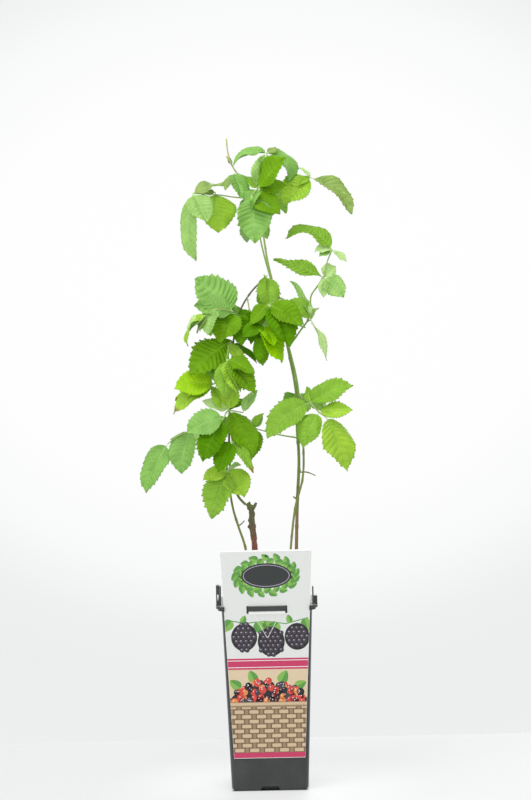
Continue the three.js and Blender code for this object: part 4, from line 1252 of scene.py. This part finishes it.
# Leaflets that have just opened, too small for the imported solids: the stem and height, or the spray and its
# leaf, that they grow from
YOUNG = [
    ("left_shoot", 487, [-160, -20, 17, 20, 30, 0.7], "d"),
    ("left_shoot", 485, [-12, -40, 35, 20, 35, 0.34], "d"),
    ("left_shoot", 411, [-20, 26, 23, 20, 40, 0.6], "s"), ("crossing", 0, [-16, 50, 21, 20, 45, 0.5], "f"),
    ("left_foot", 0, [-12, 24, 16, 30, 30, 0.62], "p"), ("crown_left", 1, [176, -8, 16, 30, 40, 0.6], "g"),
    ("crown_tip", 0, [166, 48, 18, 15, 50, 0.6], "m"), ("right_middle", 0, [150, 74, 17, 30, 40, 0.5], "p"),
    ("upper_right", 1, [200, -26, 17, 20, 35, 0.7], "l"),
    ("right_stem", 681, [165, 62, 10, 10, 50, 0.5], "g"),
    ("left_upper", 2, [190, -58, 23, 30, 20, 0.5], "g"), ("left_shoot", 452, [20, -30, 18, 30, 20, 0.5], "s"),
]
# Seeds from here on belong to the young leaflets
YOUNG_SEED = 7000
print(len(OWN_HABITS), "leaflets with a habit of their own,", len(YOUNG), "young ones")


# %% Stalks, blades and midribs
LIMB_MARKS = 400


def limb_point(name, height):
    """The middle of a stem at a height."""
    line = stem_lines[name]
    return min((line(i / LIMB_MARKS) for i in range(LIMB_MARKS + 1)), key=lambda p: abs(p.z - height))


blades = {tint: bmesh.new() for tint in TINTS}
stalk_mesh = bmesh.new()


def grow_leaflet(hub, leaflet, letter, seed, own):
    """A leaflet of one tint, and the round midrib below it."""
    add_leaflet(blades[TINT_LETTERS[letter]], hub, leaflet, seed, own)
    under = rib_line(midrib(hub, leaflet), leaflet[2], leaf_habit(seed, own))
    add_rod(stalk_mesh, under, taper(0.55, 0.16), sides=6, steps=18, finish=1)


for spray_index, (name, spray) in enumerate(SPRAYS.items()):
    root = limb_point(spray["limb"], spray["height"])
    for row_index, row in enumerate(spray["leaves"]):
        hub = Vector(row["junction"])
        start = root if "after" not in row else Vector(spray["leaves"][row["after"]]["junction"])
        stalk = smooth_line([start, *row.get("through", []), hub])
        add_rod(stalk_mesh, stalk, taper(0.85, 0.62), sides=8, steps=max(int(stalk.length / 3), 4))
        letters = LEAF_TINTS[name][row_index]
        for i, leaflet in enumerate(row["leaflets"]):
            seed = 100 * spray_index + 10 * row_index + i
            own = OWN_HABITS.get((name, row_index, i), {})
            grow_leaflet(hub, leaflet, letters[i], seed, own)
for index, (name, place, leaflet, letter) in enumerate(YOUNG):
    hub = limb_point(name, place) if name in STEMS else Vector(SPRAYS[name]["leaves"][place]["junction"])
    grow_leaflet(hub, leaflet, letter, YOUNG_SEED + index, {})
print("blade faces:", {tint: len(mesh.faces) for tint, mesh in blades.items()})


# %% [markdown]
# ### Stipules and buds
#
# Where a bramble's leaf stalk leaves the stem, two thread-like stipules stand beside it and a bud sits in
# the angle above it. They are only a few millimetres long and could be left out, but from near the joints
# would look bare. Each is one more rod: thin for a stipule, and with a belly and a point for a bud.

# %% Stipules and buds
def spindle(width):
    """A rod that is thickest a quarter of the way along and comes to a point."""
    def radius(share):
        belly = math.sin(math.pi * min(share * 1.4, 1) ** 0.8)
        return width * (0.25 + 0.75 * belly) * (1 - share) ** 0.6

    return radius


for spray_index, (name, spray) in enumerate(SPRAYS.items()):
    root = limb_point(spray["limb"], spray["height"])
    first = spray["leaves"][0]
    leaves_by = (Vector(first.get("through", [first["junction"]])[0]) - root).normalized()
    up = Vector((0, 0, 1))
    aside = leaves_by.cross(up).normalized()
    # Two thread-like stipules stand beside the stalk's foot, and a bud sits in the angle above it
    for hand in (-1, 1):
        foot = root + leaves_by * 3
        reach = 5.5 + 1.5 * shake(spray_index + hand)
        stipule = smooth_line([foot, foot + leaves_by * 0.4 * reach + aside * hand * 0.35 * reach + up,
                               foot + leaves_by * 0.55 * reach + aside * hand * 0.8 * reach + up * 2.2])
        add_rod(stalk_mesh, stipule, taper(0.32, 0.08), sides=5, steps=6)
    bud = smooth_line([root + leaves_by * out + up * rise for out, rise in ((0.6, 1), (2, 3), (2.8, 5))])
    add_rod(stalk_mesh, bud, spindle(0.95), sides=8, steps=8, finish=1)

# %% [markdown]
# ### Finished leaves
#
# A real blade is about a third of a millimetre thick, with a darker upper skin and a paler underside. Both
# skins could be modelled, but they would have to be kept in step. So the blades have one skin, and the
# solidify modifier adds the other one and the rim, and gives the underside finishes of its own.

# %% Stalks and blades as pieces
def stalk_skin(name, stops):
    """Skin of stalks and midribs: slightly glossy, with patches of other tones such as a red-brown flush."""
    material, tree, output, places = new_material(name)
    # Patches are 1 to 2 cm long
    flush = add_node(tree, "TexNoise", {"Vector": places, "Scale": 60.0, "Detail": 3.0})
    tone = add_node(tree, "ValToRGB", {"Fac": flush.outputs["Fac"]}, stops=stops)
    shader = add_node(tree, "BsdfPrincipled", {"Base Color": tone.outputs["Color"], "Roughness": 0.5})
    tree.links.new(shader.outputs["BSDF"], output.inputs["Surface"])
    return material


stalk_green = stalk_skin("leaf_stalk_skin", [(0.3, "8aa653"), (0.55, "96b05c"), (0.75, "9c8a58")])
rib_green = stalk_skin("underside_midrib", [(0.3, "a3cc74"), (0.7, "b4d68a")])
finish_piece("leaf_stalks", stalk_mesh, [stalk_green, rib_green])
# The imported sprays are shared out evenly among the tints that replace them
for order, (tint, mesh) in enumerate(blades.items()):
    covers = list(SPRAYS)[order::len(blades)]
    piece = finish_piece(f"leaves_{tint}", mesh, leaf_skins[tint], covers)
    shell = piece.modifiers.new("blade_thickness", "SOLIDIFY")
    shell.thickness = 0.00035
    shell.offset = -1
    shell.material_offset = FINISHES
    shell.material_offset_rim = 0

# %% [markdown]
# ## The studio
#
# The photograph has a plain near-white ground and backdrop and a soft, even, high-key light. A photographed
# surrounding could light the scene, but it would bring its own colours and shapes. So the bright world
# colour is the backdrop, a wide pale slab is the table, and large area lights give the soft shading.

# %% The table
TABLE_HALF = 3.2
TABLE_BACK = 0.266
TABLE_FRONT = -4.5
table_mesh = bmesh.new()
bmesh.ops.create_grid(table_mesh, x_segments=1, y_segments=1, size=1)
for vert in table_mesh.verts:
    vert.co = (vert.co.x * TABLE_HALF, TABLE_BACK if vert.co.y > 0 else TABLE_FRONT, 0)
table_data = bpy.data.meshes.new("studio_table")
table_mesh.to_mesh(table_data)
table_mesh.free()
# The pale table glows with painted light as well, most near the pot, which paints out most of the pot's
# shadow on it.
# Under the pot, inside a margin of 3 mm, it is painted dark, a painted shadow, so the drain recesses are
# black
PAINTED_SHADOW_TO = 0.0385
PAINTED_GLOW_FROM = 0.0415
# Distances from the pot's middle between which the painted glow fades a little
GLOW_NEAR = 0.04
GLOW_FAR = 0.2
table_material, table_tree, table_output, table_places = new_material("table_painted_glow_and_shadow")
from_pot = add_node(table_tree, "SeparateXYZ", {"Vector": table_places})
reach_x = add_node(table_tree, "Math", {0: from_pot.outputs["X"]}, operation="ABSOLUTE")
reach_y = add_node(table_tree, "Math", {0: from_pot.outputs["Y"]}, operation="ABSOLUTE")
reach = add_node(table_tree, "Math", {0: reach_x.outputs["Value"], 1: reach_y.outputs["Value"]},
                 operation="MAXIMUM")
away = add_node(table_tree, "VectorMath", {0: table_places}, operation="LENGTH")
painted_glow_near_pot = add_node(table_tree, "MapRange", {"Value": away.outputs["Value"], "From Min": GLOW_NEAR,
                                              "From Max": GLOW_FAR, "To Min": 0.52, "To Max": 0.4},
                     interpolation_type="SMOOTHSTEP")
painted_glow_strength = add_node(table_tree, "MapRange", {"Value": reach.outputs["Value"], "From Min": PAINTED_SHADOW_TO,
                                              "From Max": PAINTED_GLOW_FROM, "To Min": 0.0,
                                              "To Max": painted_glow_near_pot.outputs["Result"]})
table_painted_shadow = add_node(table_tree, "ValToRGB", {"Fac": reach.outputs["Value"]},
                      stops=[(PAINTED_SHADOW_TO, "141414"), (PAINTED_GLOW_FROM, "9c9d9d")])
table_shader = add_node(table_tree, "BsdfPrincipled", {"Base Color": table_painted_shadow.outputs["Color"],
                                                       "Roughness": 0.6,
                                                       "Emission Color": colour("f8f9f9"),
                                                       "Emission Strength": painted_glow_strength.outputs["Result"]})
table_tree.links.new(table_shader.outputs["BSDF"], table_output.inputs["Surface"])
table_data.materials.append(table_material)
studio_table = bpy.data.objects.new("studio_table", table_data)
bpy.context.scene.collection.objects.link(studio_table)
print("table:", 2 * TABLE_HALF, "m wide")

# %% The backdrop
world = bpy.data.worlds.new("studio_world")
world.use_nodes = True
world_tree = world.node_tree
# The sky is a pale band all round, dimmer overhead, where the lamps take over; behind the plant the
# backdrop is brightest a little above the middle and falls off softly round it
around = add_node(world_tree, "TexCoord").outputs["Generated"]
flattened = add_node(world_tree, "VectorMath", {0: around, 1: (0.75, 1.0, 1.0)}, operation="MULTIPLY")
from_middle = add_node(world_tree, "VectorMath", {0: flattened.outputs["Vector"], 1: (0.0, 1.0, 0.06)},
                       operation="DISTANCE")
glow = add_node(world_tree, "ValToRGB", {"Fac": from_middle.outputs["Value"]},
                stops=[(0.0, "ffffff"), (0.118, "fefefe"), (0.16, "f8f9f9"), (0.19, "eff0f0"),
                       (0.22, "edeeee"), (0.36, "f0f1f1"), (1.0, "f4f5f5")])
direction = add_node(world_tree, "SeparateXYZ", {"Vector": around})
height = add_node(world_tree, "Math", {0: direction.outputs["Z"]}, operation="ABSOLUTE")
band = add_node(world_tree, "ValToRGB", {"Fac": height.outputs["Value"]},
                stops=[(0.3, "ffffff"), (0.6, "c8c9ca"), (1.0, "b9babb")])
sky = add_node(world_tree, "MixRGB", {"Fac": 1.0, "Color1": glow.outputs["Color"],
                                      "Color2": band.outputs["Color"]}, blend_type="MULTIPLY")
world_tree.links.new(sky.outputs["Color"], world_tree.nodes["Background"].inputs["Color"])
bpy.context.scene.world = world
print("backdrop:", len(world_tree.nodes), "nodes")

# %% The lamps
# Each lamp's place, the point it faces, its width in metres and its power in watts
LAMPS = dict(
    overhead=((-0.3, -0.6, 2.3), (0, 0, 0.4), 1.5, 26),
    left_front=((-1.7, -1.9, 1.5), (0, 0, 0.35), 1.2, 20),
    front=((0.5, -2.6, 1.3), (0, 0, 0.3), 1.4, 16),
    back=((0.6, 1.8, 1.5), (0, 0, 0.45), 1.6, 20),
)
for name, (place, aim, size, watts) in LAMPS.items():
    lamp = bpy.data.lights.new(name, "AREA")
    lamp.energy = watts
    lamp.size = size
    light = bpy.data.objects.new(name, lamp)
    light.location = place
    light.rotation_euler = (Vector(aim) - Vector(place)).to_track_quat("-Z", "Y").to_euler()
    bpy.context.scene.collection.objects.link(light)
bpy.context.scene.view_settings.view_transform = "Standard"
print(len(LAMPS), "lamps")
